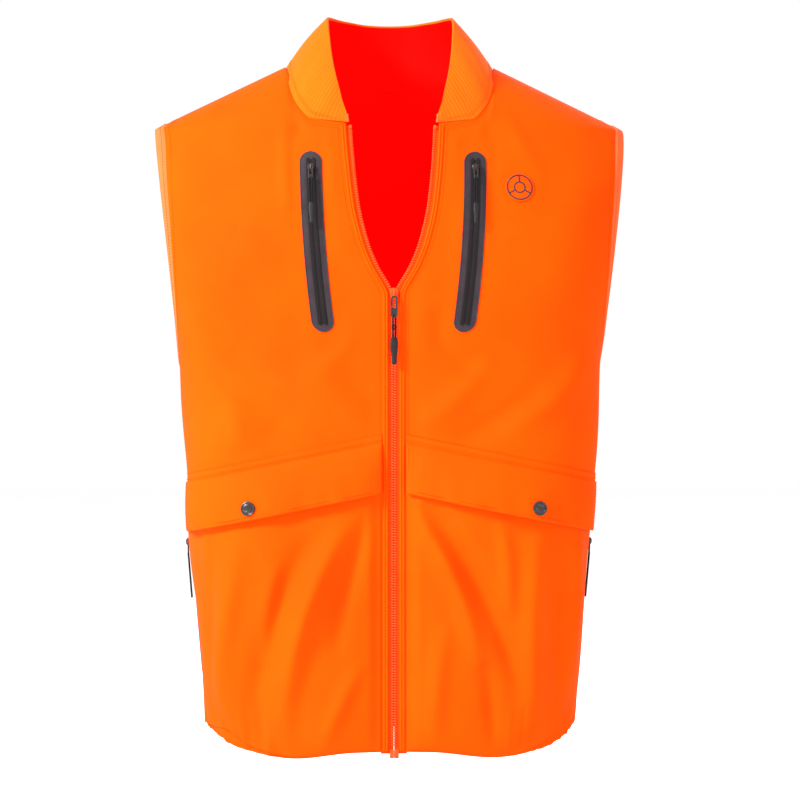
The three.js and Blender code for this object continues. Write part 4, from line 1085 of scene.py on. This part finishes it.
def ring_points(side, turns, width):
    c, s = np.cos(2 * math.pi * turns), np.sin(2 * math.pi * turns)
    drop = ARMHOLE_MIDDLE - (ARMHOLE_HALF_HEIGHT + width) * s
    y = (ARMHOLE_HALF_DEPTH + width) * c
    return on_side(side, np.where(y > 0, y * back_depth(drop) / front_depth(drop), y), drop)


def make_bindings():
    """The knitted edge round each armhole."""
    turns = np.linspace(0, 1, 220, endpoint=False)
    section = np.linspace(0, 2 * math.pi, 18, endpoint=False)
    width = 4.9 + 4.9 * np.cos(section)
    height = -0.75 + 1.35 * np.sin(section) - 1.5 * ease(width, 6.4, 9)
    for name, side in SIDES:
        rings = []
        for out, offset in zip(width, height):
            p = ring_points(side, turns, out)
            rings.append(p + normals(p) * offset)
        verts = np.stack(rings, 1)
        faces = facing_out(verts, grid_faces(len(turns), len(section), True, True).tolist())
        u = np.broadcast_to(turns[:, None] * 640, verts.shape[:2])
        v = np.broadcast_to(section[None, :] * 2.4, verts.shape[:2])
        piece = make_object(f"{name}_armhole_edge", verts, faces, np.stack([u, v], -1))
        dress(piece, "garment", "binding", [f"{name}_armhole_binding"])


def make_hem():
    """The elastic band inside the hem."""
    downs = np.linspace(0.958, 0.984, 6)
    fronts = [front_points(side, np.linspace(0.06, 1, 60), downs) for _, side in SIDES]
    back = back_points(np.linspace(1, -1, 120), downs)
    p, n = worn(np.concatenate([fronts[0], back, fronts[1][:, ::-1]], 1))
    pucker = 0.35 * np.sin(np.arange(p.shape[1]) * 1.9)[None, :]
    dress(cloth("hem_band", p, n, -4.6 + pucker, -3.8 + pucker), "garment", "lining", ["hem_elastic"])


# ---- Main zip ------------------------------------------------------------------------------------


def beside_zip(side, distance, drop):
    return on_front(side * (opening(drop) + distance), drop)


def zip_levels(top=68, bottom=ZIP_END, count=260):
    return np.linspace(top, bottom, count)


def make_main_zip():
    """The main zip without its slider."""
    for name, side in SIDES:
        x, d = np.meshgrid(np.linspace(0.2, 13, 9), zip_levels(bottom=ZIP_END + 5))
        p, n = worn(beside_zip(side, x, d))
        tape = cloth(f"{name}_tape", p, n, LINING_TOP - 0.5, LINING_TOP + 0.9)
        dress(tape, "garment", "zip_tape", [f"{name}_zip_tape"])
        t = np.linspace(0, 1, 17)
        x, d = np.meshgrid(TAPE_SHOWS + 0.1 + 5.2 * t, zip_levels(bottom=ZIP_END + 2))
        p, n = worn(beside_zip(side, x, d))
        ridges = 0.95 * np.abs(np.sin(2 * math.pi * t)) ** 0.6
        placket = cloth(f"{name}_placket", p, n, 0.05, 0.3 + ridges[None, :])
        dress(placket, "garment", "shell", [f"{name}_zip_placket"])
        shift = 0 if side > 0 else sizes().tooth_pitch / 2
        p, n = worn(beside_zip(side, 1.3, zip_levels(72 + shift, ZIP_END - 4)))
        teeth = row(f"{name}_teeth", [(p - n * 1.1, n)], sizes().tooth_pitch, (1.5, 3.1, 2.1),
                    finish("zip_moulded"), tooth=True)
        dress(teeth, "garment", "zip_moulded", [f"{name}_zip_coil"])
        stop = hardware_frame(beside_zip(side, 1.5, 70))
        made_of(f"{name}_stop", placed(slab(rounded_outline(3, 4, 1.2), -0.5, 1.0), stop), "garment",
                "zip_moulded", [f"{name}_top_stop"])
    foot = hardware_frame(on_front(0.001, ZIP_END + 4.9))
    box = joined(
        slab(rounded_outline(4.8, 9, 1.2, x=2.45), -2, 2, 0.6),
        slab(rounded_outline(3.0, 1.2, 0.5, x=2.6, z=1.5), 1.9, 2.5, 0.25),
        slab(rounded_outline(3.0, 1.2, 0.5, x=2.6, z=-1.2), 1.9, 2.5, 0.25),
    )
    made_of("zip_box", placed(box, foot), "garment", "zip_moulded", ["zip_retainer_box"])
    pin = slab(rounded_outline(4.0, 9, 1.0, x=-2.1), -1.3, 1.3, 0.5)
    made_of("zip_pin", placed(pin, foot), "garment", "zip_moulded", ["zip_insertion_pin"])


def slider_parts(wide, tall, near, thick):
    """A slider's shield with its two flanges, and the arched bridge that its pull hangs on."""
    half, h = wide / 2, tall / 2
    turn = np.linspace(0, math.pi, 16)
    crown = np.stack([half * np.cos(turn), h * 0.35 + h * 0.65 * np.sin(turn)], 1)
    waist = [(-half * 0.78, -h * 0.5), (-half * 0.7, -h), (half * 0.7, -h), (half * 0.78, -h * 0.5)]
    shield = np.concatenate([crown, waist])
    lower = slab(shield, near, near + thick * 0.42, thick * 0.16)
    upper = slab(shield * (0.94, 0.94), near + thick * 0.5, near + thick, thick * 0.18)
    post = slab(rounded_outline(wide * 0.3, tall * 0.4, 0.8), near + 0.2, near + thick - 0.2, 0.2)
    arch = np.linspace(0, math.pi, 14)
    path = np.stack([
        np.zeros(14), -(near + thick - 0.5 + 1.6 * np.sin(arch)), tall * 0.34 * np.cos(arch)
    ], 1)
    bridge = tube(path, wide * 0.11, 10, up=(1, 0, 0))
    return joined(lower, upper, post, bridge)


def ring_path(wide, top, bottom, near_top, near_bottom, steps=10):
    """A rounded loop from top to bottom, leaning off the cloth."""
    r = wide / 2
    turn = np.linspace(0, math.pi, steps)
    x = np.concatenate([r * np.cos(turn), -r * np.cos(turn)])
    z = np.concatenate([top - r + r * np.sin(turn), bottom + r - r * np.sin(turn)])
    height = mix(near_top, near_bottom, np.clip((top - z) / (top - bottom), 0, 1) ** 0.5)
    return np.stack([x, -height, z], 1)


def sagged(part, top, length, sag):
    """A hanging part that leans in towards the cloth, more so further down."""
    verts, faces = part
    verts = np.asarray(verts, float).copy()
    verts[:, 1] += sag * np.clip((top - verts[:, 2]) / length, 0, 1) ** 2
    return verts, faces


def pull_parts(tab, cord, grip, wide, thick, tall, near, sag=0):
    """Tab, doubled cord and moulded grip of a pull that hangs below its slider."""
    top, middle = -0.3 * tall - 0.4, near + thick / 2
    tab_end, cord_end = top - tab, top - tab - cord
    loop = ring_path(0.62 * wide, top + 1.4, tab_end - 0.2, middle - 0.9, middle)
    ring = tube(loop, 0.13 * wide, 8, True, up=(0, 1, 0))
    web_outline = rounded_outline(0.56 * wide, tab * 0.42, 1.0, z=tab_end + tab * 0.26)
    web = slab(web_outline, middle - 0.45, middle + 0.45, 0.25)
    strands = ring_path(2.5, tab_end + 1.4, cord_end - 1.5, middle, middle, 12)
    loop_cord = tube(strands, 0.95, 10, True, up=(0, 1, 0))
    knot_top = tab_end - cord * 0.42
    knot = tube(ring_path(4.2, knot_top, knot_top - 3.4, middle, middle), 0.8, 8, True, up=(0, 1, 0))
    sections = []
    for t in np.linspace(0, 1, 34):
        waist = 0.66 + 0.34 * math.sin(math.pi * min(1, 0.2 + t)) ** 2
        ribbed = 1 - 0.07 * (0.5 + 0.5 * math.cos(2 * math.pi * 7 * t)) * (0.12 < t < 0.8)
        end = math.sqrt(max(0.02, 1 - max(0, abs(2 * t - 1) - 0.86) ** 2 / 0.0196))
        half, deep = wide / 2 * waist * ribbed * end, thick / 2 * ribbed * end * 0.9
        sections.append((cord_end + 0.5 - t * grip, half, deep, -middle))
    parts = joined(ring, web), joined(loop_cord, knot), loft(sections)
    return [sagged(part, top, tab + cord + grip, sag) for part in parts]


def make_main_slider():
    """The slider of the main zip and its pull."""
    axes = hardware_frame(on_front(0.001, SLIDER_DROP))
    body = placed(slider_parts(9, 12, -0.5, 3.6), axes)
    made_of("zip_slider", body, "main_slider", "zip_moulded", ["main_slider"])
    tab, cord, grip = (placed(part, axes) for part in pull_parts(19, 20, 28, 8, 3.6, 12, 3.5))
    made_of("pull_tab", tab, "main_pull", "dark_metal", ["main_pull_tab"])
    made_of("pull_cord", cord, "main_pull", "cord", ["main_pull_cord"])
    made_of("pull_grip", grip, "main_pull", "dark_moulded", ["main_pull_grip"])


# ---- Chest and side zips -------------------------------------------------------------------------


def chest_at(side, t, across_=0.0):
    return on_front(side * (chest_zip_x(t) + across_), CHEST_ZIP_TOP + t * CHEST_ZIP_LENGTH)


def side_at(side, t, across_=0.0):
    return on_side(side, SIDE_ZIP_LEAN * t - 4 + across_, SIDE_ZIP_TOP + t * SIDE_ZIP_LENGTH)


def rounded_strip(place, length, width, margin, cols=9, rows=90):
    """A grid of a strip with round ends along a zip, from a margin inside its length."""
    half = width / 2
    s = (1 - np.cos(np.linspace(0, math.pi, rows))) / 2
    along = mix(margin, length - margin, s)
    near = np.minimum(along - margin, length - margin - along) / half
    share = np.where(near >= 1, 1, np.sqrt(np.clip(1 - (1 - np.minimum(near, 1)) ** 2, 0.0004, 1)))
    u, t = np.meshgrid(np.linspace(-1, 1, cols), along / length)
    return place(t, u * half * share[:, None])


def small_zip(name, place, length, width, slot_nodes, body, slider_axes, near, pull_rise, sag=0):
    """A zip in its welded film: film, lighter edge, lips of the channel, coil, slider and pull."""
    film_node, coil_node, slider_node, pull_node = slot_nodes
    p, n = worn(rounded_strip(place, length, width, 0))
    dress(cloth(f"{name}_film", p, n, 0.02, 0.85), "garment", "laminate", [film_node])
    rim = rounded_strip(place, length, width - 1.5, 0.75)
    border = np.concatenate([rim[:, 0], rim[::-1, -1]])
    q, m = worn(border)
    edge = tube(q + m * 0.72, 0.42, 6, True, up=(0, 1, 0))
    made_of(f"{name}_film_edge", edge, "garment", "laminate", paint="film_edge")
    lips = []
    for s in (-1, 1):
        def lip_place(t, off, s=s):
            return place(t, s * (width * 0.125) + off)
        p, n = worn(rounded_strip(lip_place, length, width * 0.19, 7, 7, 70))
        lips.append((p, n))
    for k, (p, n) in enumerate(lips):
        dress(cloth(f"{name}_lip_{k + 1}", p, n, 0.7, 1.75, pinch=0.45), "garment", "channel")
    t = np.linspace(9 / length, 1 - 9 / length, 160)
    p, n = worn(place(t, np.zeros_like(t)))
    coil = row(f"{name}_coil", [(p + n * 1.1, n)], 1.3, (0.9, width * 0.16, 1.1), finish("channel"))
    dress(coil, "garment", "channel", [coil_node])
    runner = placed(slider_parts(7, 9, near, 2.6), slider_axes)
    made_of(f"{name}_runner", runner, body + "_slider", "dark_metal", [slider_node])
    tab, cord, grip = pull_parts(10, 24, 22, 5.6, 2.4, 9, near + pull_rise, sag)
    tag = placed(joined(tab, grip), slider_axes)
    made_of(f"{name}_tag", tag, body + "_pull", "dark_moulded", [pull_node])
    made_of(f"{name}_tag_cord", placed(cord, slider_axes), body + "_pull", "cord")


def make_chest_zips():
    """The two chest zips."""
    for name, side in SIDES:
        up = chest_at(side, 0.05) - chest_at(side, 0.15)
        nodes = [f"{name}_chest_{part}" for part in ("zip_patch", "zip_coil", "slider", "pull")]
        small_zip(
            f"{name}_chest", lambda t, off, s=side: chest_at(s, t, off), CHEST_ZIP_LENGTH, PATCH_WIDTH, nodes,
            f"{name}_chest", hardware_frame(chest_at(side, 0.1), up), 2.8, 2.8, 4,
        )


def make_side_zips():
    """The zips at the sides of the pouch."""
    for name, side in SIDES:
        up = side_at(side, 0.0) - side_at(side, 1.0)
        nodes = [f"{name}_side_{part}" for part in ("zip_tape", "zip_coil", "slider", "pull")]
        small_zip(
            f"{name}_side", lambda t, off, s=side: side_at(s, t, off), SIDE_ZIP_LENGTH, 12, nodes,
            f"{name}_side", hardware_frame(side_at(side, 0.06), up), 2.6, 1.6,
        )


# ---- Pockets, flaps and snaps --------------------------------------------------------------------


def flap_seam(x):
    return FLAP_SEAM_DROP + FLAP_SLOPE * np.maximum(0, np.abs(x) - FLAP_INNER_X)


def fullness(share):
    return np.sin(math.pi * mix(0.06, 0.94, np.clip(share, 0, 1))) ** 0.5


def across_front(share, drop, inner, end_depth):
    return x_by_angle(inner, width_at(end_depth, drop, front_depth), share, drop, front_depth)


def share_at(x, drop, inner, end_depth):
    """The share of the way from a flap's or pocket's inner edge to its end."""
    first = angle_at(inner, drop, front_depth)
    last = angle_at(width_at(end_depth, drop, front_depth), drop, front_depth)
    return (angle_at(np.abs(x), drop, front_depth) - first) / (last - first)


def pocket_offset(x, drop):
    """How far the pocket's inner face stands off the body."""
    share = share_at(x, drop, FLAP_INNER_X + 1, 76)
    sag = mix(POCKET_MOUTH, POCKET_DEPTH, np.clip((drop - flap_seam(x) - MOUTH_BELOW_SEAM) / 60, 0, 1))
    return 0.1 + sag * fullness(share) * ease(share, 0, 0.1) * ease(1 - share, 0, 0.1)


def flap_offset(share, down):
    """How far the flap's inner face stands off the body."""
    rise = 1 - (1 - np.minimum(1, down / FLAP_TALL)) ** 2
    full = fullness(share) * ease(share, -0.1, 0.12) * ease(1 - share, -0.12, 0.12)
    return SEAM_GAP + 0.3 + FLAP_CLEAR * rise * np.clip(full, 0.16, 1)


POCKET_SIDE_DEPTH, FLAP_SIDE_DEPTH = 24, 54


def make_pockets():
    """The lower pockets, sagging between their seams."""
    thick = sizes().cloth
    share, v = np.meshgrid(edged(84), edged(110, 0.003))
    for name, side in SIDES:
        x0 = across_front(share, 470.0, FLAP_INNER_X + 1, POCKET_SIDE_DEPTH)
        mouth = flap_seam(x0) + MOUTH_BELOW_SEAM
        drop = mix(mouth, hem_drop(np.minimum(x0, HEM_HALF)) - 1.5, v)
        x = across_front(share, drop, FLAP_INNER_X + 1, POCKET_SIDE_DEPTH)
        closing = np.sqrt(1 - np.clip((v - 0.65) / 0.35, 0, 1) ** 2)
        off = 0.1 + (pocket_offset(x, drop) - 0.1) * closing
        flat = on_front(side * x, drop)
        p, n = worn(flat)
        pocket = cloth(f"{name}_lower_pocket", p, n, off, off + thick)
        cut(dress(pocket, "garment", "shell", [f"{name}_pocket"]), flat, f"{name}_front")


def flap_points(side, share, v, end_depth=FLAP_SIDE_DEPTH):
    x0 = across_front(share, 420.0, FLAP_INNER_X, end_depth)
    drop = flap_seam(x0) + v * FLAP_TALL
    p = on_front(side * across_front(share, drop, FLAP_INNER_X, end_depth), drop)
    own = share_at(x0, 420.0, FLAP_INNER_X, FLAP_END_DEPTH)
    return p, flap_offset(own, v * FLAP_TALL)


def follow_flap(obj, side):
    """Cloth that starts on the garment at the flap's seam and follows the flap further down."""
    base = on_front(side * SNAP_X, float(flap_seam(SNAP_X)))
    down = unit(np.array([side * 0.15, 0, -1.0]))
    start, end = (tuple((base + down * below) * MM) for below in (2, 27))
    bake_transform(obj)


def make_flaps():
    """The pocket flaps, which leave the body at their seam and hang over the pockets."""
    share, v = np.meshgrid(edged(90), edged(26, 0.02))
    wave = 0.5 * np.sin(share * 23 + 1) * v**2 + 0.35 * np.sin(share * 51) * v**2
    for name, side in SIDES:
        p, off = flap_points(side, share, v)
        q, n = worn(p)
        hold = ease(np.hypot(np.abs(p[..., 0]) - SNAP_X, (v - 0.76) * FLAP_TALL), 8, 20)
        off = off + wave * hold
        piece = cloth(f"{name}_pocket_flap", q, n, off, off + FLAP_THICKNESS, pinch=0.45)
        piece.data.materials.append(finish("shell"))
        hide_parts(f"{name}_flap")
        cut(piece, p, f"{name}_front")
        follow_flap(piece, side)
        paths = []
        for s, t in ((np.linspace(0.015, 0.985, 120), np.full(120, 0.93)),
                     (np.full(30, 0.016), np.linspace(0.12, 0.93, 30)),
                     (np.full(30, 0.985), np.linspace(0.12, 0.93, 30))):
            p, o = flap_points(side, s, t)
            q, n = worn(p)
            paths.append((q + n * (o + FLAP_THICKNESS + 0.05)[:, None], n))
        stitches = sewn(f"{name}_flap_stitches", paths)
        follow_flap(stitches, side)
        welt_share, w = np.meshgrid(np.linspace(0, 1, 90), np.linspace(0, 1, 15))
        x0 = across_front(welt_share, 400.0, FLAP_INNER_X, FLAP_SIDE_DEPTH)
        drop = flap_seam(x0) - 9 + 10.5 * w
        p, n = worn(on_front(side * across_front(welt_share, drop, FLAP_INNER_X, FLAP_SIDE_DEPTH), drop))
        swell = 1.0 * np.sin(math.pi * np.clip(w, 0, 1)) ** 0.5 + 0.5 * np.exp(-(((w - 0.9) / 0.1) ** 2))
        dress(cloth(f"{name}_flap_welt", p, n, 0.02, 0.2 + swell), "garment", "shell")
        make_snap(name, side)


def make_snap(name, side):
    """The cap and socket of a flap's snap, and the stud on its pocket."""
    drop = float(flap_seam(SNAP_X)) + SNAP_BELOW_SEAM
    share = float(share_at(SNAP_X, 420.0, FLAP_INNER_X, FLAP_END_DEPTH))
    axes = hardware_frame(on_front(side * SNAP_X, drop))
    foot = float(flap_offset(share, SNAP_BELOW_SEAM)) + FLAP_THICKNESS
    r = SNAP_RADIUS
    cap = [(0.01, foot - 0.4), (r - 0.5, foot - 0.4), (r, foot + 0.3), (r, foot + 1.3),
           (r - 0.35, foot + 2.0), (r - 1.0, foot + 2.3), (r - 1.6, foot + 2.15),
           (r - 2.0, foot + 1.9), (r - 2.6, foot + 2.3), (r - 3.6, foot + 2.75),
           (r - 5.2, foot + 3.0), (0.01, foot + 3.1)]
    made_of(f"{name}_snap_top", placed(turned(cap), axes), f"{name}_flap", "dark_metal", [f"{name}_snap_cap"])
    top = float(flap_offset(share, SNAP_BELOW_SEAM - 0.8 * r)) - 1
    socket = [(0.01, top - 0.6), (1.6, top - 0.6), (2.0, top - 1.0), (4.2, top - 1.0), (0.8 * r, top - 0.5),
              (0.8 * r, top), (0.01, top)]
    ring = placed(turned(socket), axes)
    made_of(f"{name}_snap_ring", ring, f"{name}_flap", "dark_metal", [f"{name}_snap_socket"])
    face = float(pocket_offset(SNAP_X, drop)) + sizes().cloth
    stud = [(0.01, face), (5, face), (5, face + 0.5), (4.6, face + 0.8), (2.4, face + 0.9), (2.0, face + 1.5),
            (1.2, face + 1.8), (0.01, face + 1.8)]
    made_of(f"{name}_snap_post", placed(turned(stud), axes), "garment", "dark_metal", [f"{name}_snap_stud"])


# ---- Game pouch, badge and stitching -------------------------------------------------------------


def down_at(level):
    return FAN + (level - YOKE_LEVEL) / (HEM_DROP - YOKE_LEVEL) * (1 - FAN)


POUCH_SHARE = 195 / TOP_HALF


def make_pouch():
    """The pouch across the back."""
    shares = np.linspace(-POUCH_SHARE, POUCH_SHARE, 130)
    downs = np.linspace(down_at(POUCH_TOP), down_at(POUCH_BOTTOM), 90)
    flat = back_points(shares, downs)
    p, n = worn(flat)
    s, t = np.abs(np.linspace(-1, 1, 130))[None, :], np.linspace(0, 1, 90)[:, None]
    swell = POUCH_DEPTH * ease(1 - s, 0, 0.16) * ease(t, 0, 0.1) * ease(1 - t, 0, 0.12)
    pleat = 0.7 * np.sin(p[..., 0] / 7.5) * np.exp(-((t - 0.06) / 0.09) ** 2) * ease(1 - s, 0, 0.2)
    off = 0.1 + np.maximum(0, swell + pleat * (swell > 0.5))
    pouch = cloth("rear_pouch", p, n, off, off + sizes().cloth)
    cut(dress(pouch, "garment", "shell", ["game_pouch"]), flat, "back")


def make_badge():
    """A round badge with satin stitches on it."""
    axes = hardware_frame(on_front(MARK_X, MARK_DROP))
    r = MARK_RADIUS
    ground = turned([(0.01, 0.1), (r - 0.4, 0.1), (r, 0.35), (r - 0.3, 0.75), (r - 2, 1.0), (0.01, 1.0)], 64)
    made_of("badge", placed(ground, axes), "garment", "shell", ["chest_mark"], "print")
    turn = np.linspace(0, 2 * math.pi, 121)
    turn_frame, origin = axes
    rings = []
    for r in BADGE_RINGS:
        local = np.stack([r * np.cos(turn), np.full(121, -1.15), r * np.sin(turn)], 1)
        rings.append((local @ turn_frame.T + origin, -turn_frame[:, 1]))
    for k in range(3):
        a = math.pi / 2 + k * 2 * math.pi / 3
        reach = np.linspace(*BADGE_RINGS[::-1], 20)
        local = np.stack([reach * math.cos(a), np.full(20, -1.15), reach * math.sin(a)], 1)
        rings.append((local @ turn_frame.T + origin, -turn_frame[:, 1]))
    satin = row("badge_thread", rings, 0.62, (0.62, 2.3, 0.8), finish("mark"))
    dress(satin, "garment", "mark")


def across_back(shares, down):
    """A level line on the back, with shares from -1 at one side seam to 1 at the other."""
    return panel_points(np.where(shares < 0, -1, 1), np.abs(shares), np.full(len(shares), down), True)


def make_stitching():
    """All topstitching of the body: zip, hem, shoulders, sides, armholes, neck, pockets and pouch."""
    paths = []
    t = np.linspace(0, 1, SEAM_POINTS)
    for _, side in SIDES:
        for beside, lift in ((8.2, 0.6), (14, 0.15)):
            paths.append(line(beside_zip(side, beside, mix(72, ZIP_END, t)), lift))
        paths.append(line(panel_points(side, mix(0.06, 0.995, t), np.full(SEAM_POINTS, 0.9945))))
        paths.append(line(panel_points(side, np.full(SEAM_POINTS, 0.985), mix(down_at(320), 0.99, t), True)))
        paths.append(line(ring_points(side, t, 11.5)))
        paths.append(line(ring_points(side, t, 5.6), 0.75))
        paths.append(line(panel_points(side, mix(0.5, 0.99, t), np.full(SEAM_POINTS, 0.036), True)))
        x = across_front(t, 400.0, FLAP_INNER_X, FLAP_SIDE_DEPTH)
        for above, lift in ((8.2, 0.9), (2.6, 1.25)):
            drop = flap_seam(x) - above
            seam_x = across_front(t, drop, FLAP_INNER_X + 1, FLAP_SIDE_DEPTH)
            paths.append(line(on_front(side * seam_x, drop), lift))
        for gap in (3.2, 6.4):
            x = mix(NECK_CORNER_X + 6, NECK_HALF - 1, t)
            paths.append(line(on_front(side * x, front_neck(x) + gap)))
    paths.append(line(across_back(mix(-0.99, 0.99, t), 0.9945)))
    x = mix(-NECK_HALF + 3, NECK_HALF - 3, t)
    paths += [line(on_back(x, top_drop(x, True) + gap)) for gap in (3.2, 6.4)]
    for level, lift in ((POUCH_TOP + 1, 1.4), (POUCH_BOTTOM - 1, 1.4)):
        paths.append(line(across_back(mix(-POUCH_SHARE, POUCH_SHARE, t), down_at(level)), lift))
    dress(sewn("stitching", paths), "garment", "shell")
    q, n = collar_grid([0.06, 0.12], 700)
    zigzag = np.where(np.arange(700) % 4 < 2, 0, 1)
    path = np.where(zigzag[:, None] == 0, q[0], q[1]) + n[0] * 1.2
    seam = row("collar_stitches", [(path, n[0])], 1.5, (1.5, 0.5, 0.45), finish("thread"))
    dress(seam, "garment", "collar_knit")


# ---- Stage ---------------------------------------------------------------------------------------

CAMERA_DISTANCE, CAMERA_TURN = 3.0, math.radians(-2.4)
VIEW_WIDTH, VIEW_ACROSS, VIEW_HEIGHT = 0.824, 0.011, -0.343
FLOOR_BELOW_HEM, FLOOR_HALF = 100, 12000
LIT_MIDDLE = (0, 0, -0.3)
# Each light's place in metres, its width and its power
LIGHTS = (
    ("key", (-2.4, -1.5, 1.5), 0.8, 250), ("fill", (1.8, -2.2, 0.4), 1.8, 10),
    ("back_fill", (0.6, 2.6, 1.4), 2.0, 70),
)


def area_light(name, place, target, size, power):
    light = bpy.data.lights.new(name, "AREA")
    light.shape, light.size, light.energy = "DISK", size, power
    obj = bpy.data.objects.new(name, light)
    obj.location = place
    obj.rotation_mode = "QUATERNION"
    obj.rotation_quaternion = (Vector(target) - Vector(place)).to_track_quat("-Z", "Y")
    bpy.context.scene.collection.objects.link(obj)


def make_stage():
    """The camera, the floor, the sky and the lights."""
    scene = bpy.context.scene
    scene.view_settings.view_transform = "Standard"
    camera = bpy.data.objects.new("Camera", bpy.data.cameras.new("Camera"))
    scene.collection.objects.link(camera)
    back = Vector((math.sin(CAMERA_TURN), -math.cos(CAMERA_TURN), 0))
    right = Vector((math.cos(CAMERA_TURN), math.sin(CAMERA_TURN), 0))
    camera.location = right * VIEW_ACROSS + Vector((0, 0, VIEW_HEIGHT)) + back * CAMERA_DISTANCE
    camera.rotation_euler = (math.pi / 2, 0, CAMERA_TURN)
    camera.data.sensor_width = 36
    camera.data.lens = camera.data.sensor_width * CAMERA_DISTANCE / VIEW_WIDTH
    scene.camera = camera
    floor = Finish("Pale floor", 0.8)
    floor.colour(floor.blend((0.96, 0.96, 0.96), (0.99, 0.99, 0.99), floor.noise(3, 2)))
    size, level = FLOOR_HALF, CAD_LOW.z / MM - FLOOR_BELOW_HEM
    corners = [(-size, -size, level), (size, -size, level), (size, size, level), (-size, size, level)]
    ground = make_object("floor", corners, [[0, 1, 2, 3]])
    ground.data.materials.append(floor.material)
    world = bpy.data.worlds.new("Studio")
    scene.world = world
    world.use_nodes = True
    sky = world.node_tree.nodes["Background"]
    sky.inputs["Color"].default_value = (1, 1, 1, 1)
    sky.inputs["Strength"].default_value = 1.0
    for name, place, wide, power in LIGHTS:
        area_light(name, place, LIT_MIDDLE, wide, power)


# ---- Add-on --------------------------------------------------------------------------------------

STEPS = (
    ("stage", "Stage", "Makes the camera, the floor and the soft lights", make_stage),
    ("shell", "Shell", "Makes the fronts and the back of the vest with their folds", make_shell),
    ("lining", "Linings", "Makes the linings, the chest pocket bags and the neck loop", make_lining),
    ("collar", "Collar", "Makes the rib knit collar with its lining and piping", make_collar),
    ("bindings", "Armhole edges", "Makes the knitted edges of the armholes", make_bindings),
    ("hem", "Hem band", "Makes the elastic band inside the hem", make_hem),
    ("main_zip", "Main zip", "Makes the main zip's tapes, teeth, plackets and end pieces", make_main_zip),
    ("main_slider", "Main slider", "Makes the main slider and its pull", make_main_slider),
    ("chest_zips", "Chest zips", "Makes the welded chest zips with their sliders and pulls", make_chest_zips),
    ("pockets", "Pockets", "Makes the lower pockets", make_pockets),
    ("flaps", "Flaps", "Makes the pocket flaps with their welts, stitches and snaps", make_flaps),
    ("side_zips", "Side zips", "Makes the zips at the sides of the rear pouch", make_side_zips),
    ("pouch", "Rear pouch", "Makes the pouch across the back", make_pouch),
    ("badge", "Badge", "Makes the embroidered badge on the chest", make_badge),
    ("stitching", "Stitching", "Sews the topstitching of the body and collar", make_stitching),
)


def step_operator(key, label, text, make):
    def execute(self, context):
        make()
        return {"FINISHED"}

    return type(f"VEST_OT_{key}", (bpy.types.Operator,), {
        "bl_idname": f"vest.make_{key}", "bl_label": label, "bl_options": {"REGISTER", "UNDO"},
        "__doc__": text, "execute": execute,
    })


OPERATORS = [step_operator(*step) for step in STEPS]


class VEST_PT_build(bpy.types.Panel):
    """Sizes, colours and building steps of the vest."""

    bl_idname = "VEST_PT_build"
    bl_label = "Field vest"
    bl_space_type = "VIEW_3D"
    bl_region_type = "UI"
    bl_category = "Vest"

    def draw(self, context):
        for group in (context.scene.vest_sizes, context.scene.vest_colours):
            box = self.layout.box()
            for name in group.__annotations__:
                box.prop(group, name)
        for operator in OPERATORS:
            self.layout.operator(operator.bl_idname)


CLASSES = (VestColours, VestSizes, *OPERATORS, VEST_PT_build)


def register():
    for cls in CLASSES:
        bpy.utils.register_class(cls)
    bpy.types.Scene.vest_colours = bpy.props.PointerProperty(type=VestColours)
    bpy.types.Scene.vest_sizes = bpy.props.PointerProperty(type=VestSizes)


def unregister():
    del bpy.types.Scene.vest_sizes
    del bpy.types.Scene.vest_colours
    for cls in reversed(CLASSES):
        bpy.utils.unregister_class(cls)


def main():
    register()
    for key, *_ in STEPS:
        getattr(bpy.ops.vest, f"make_{key}")()


if __name__ == "__main__":
    main()
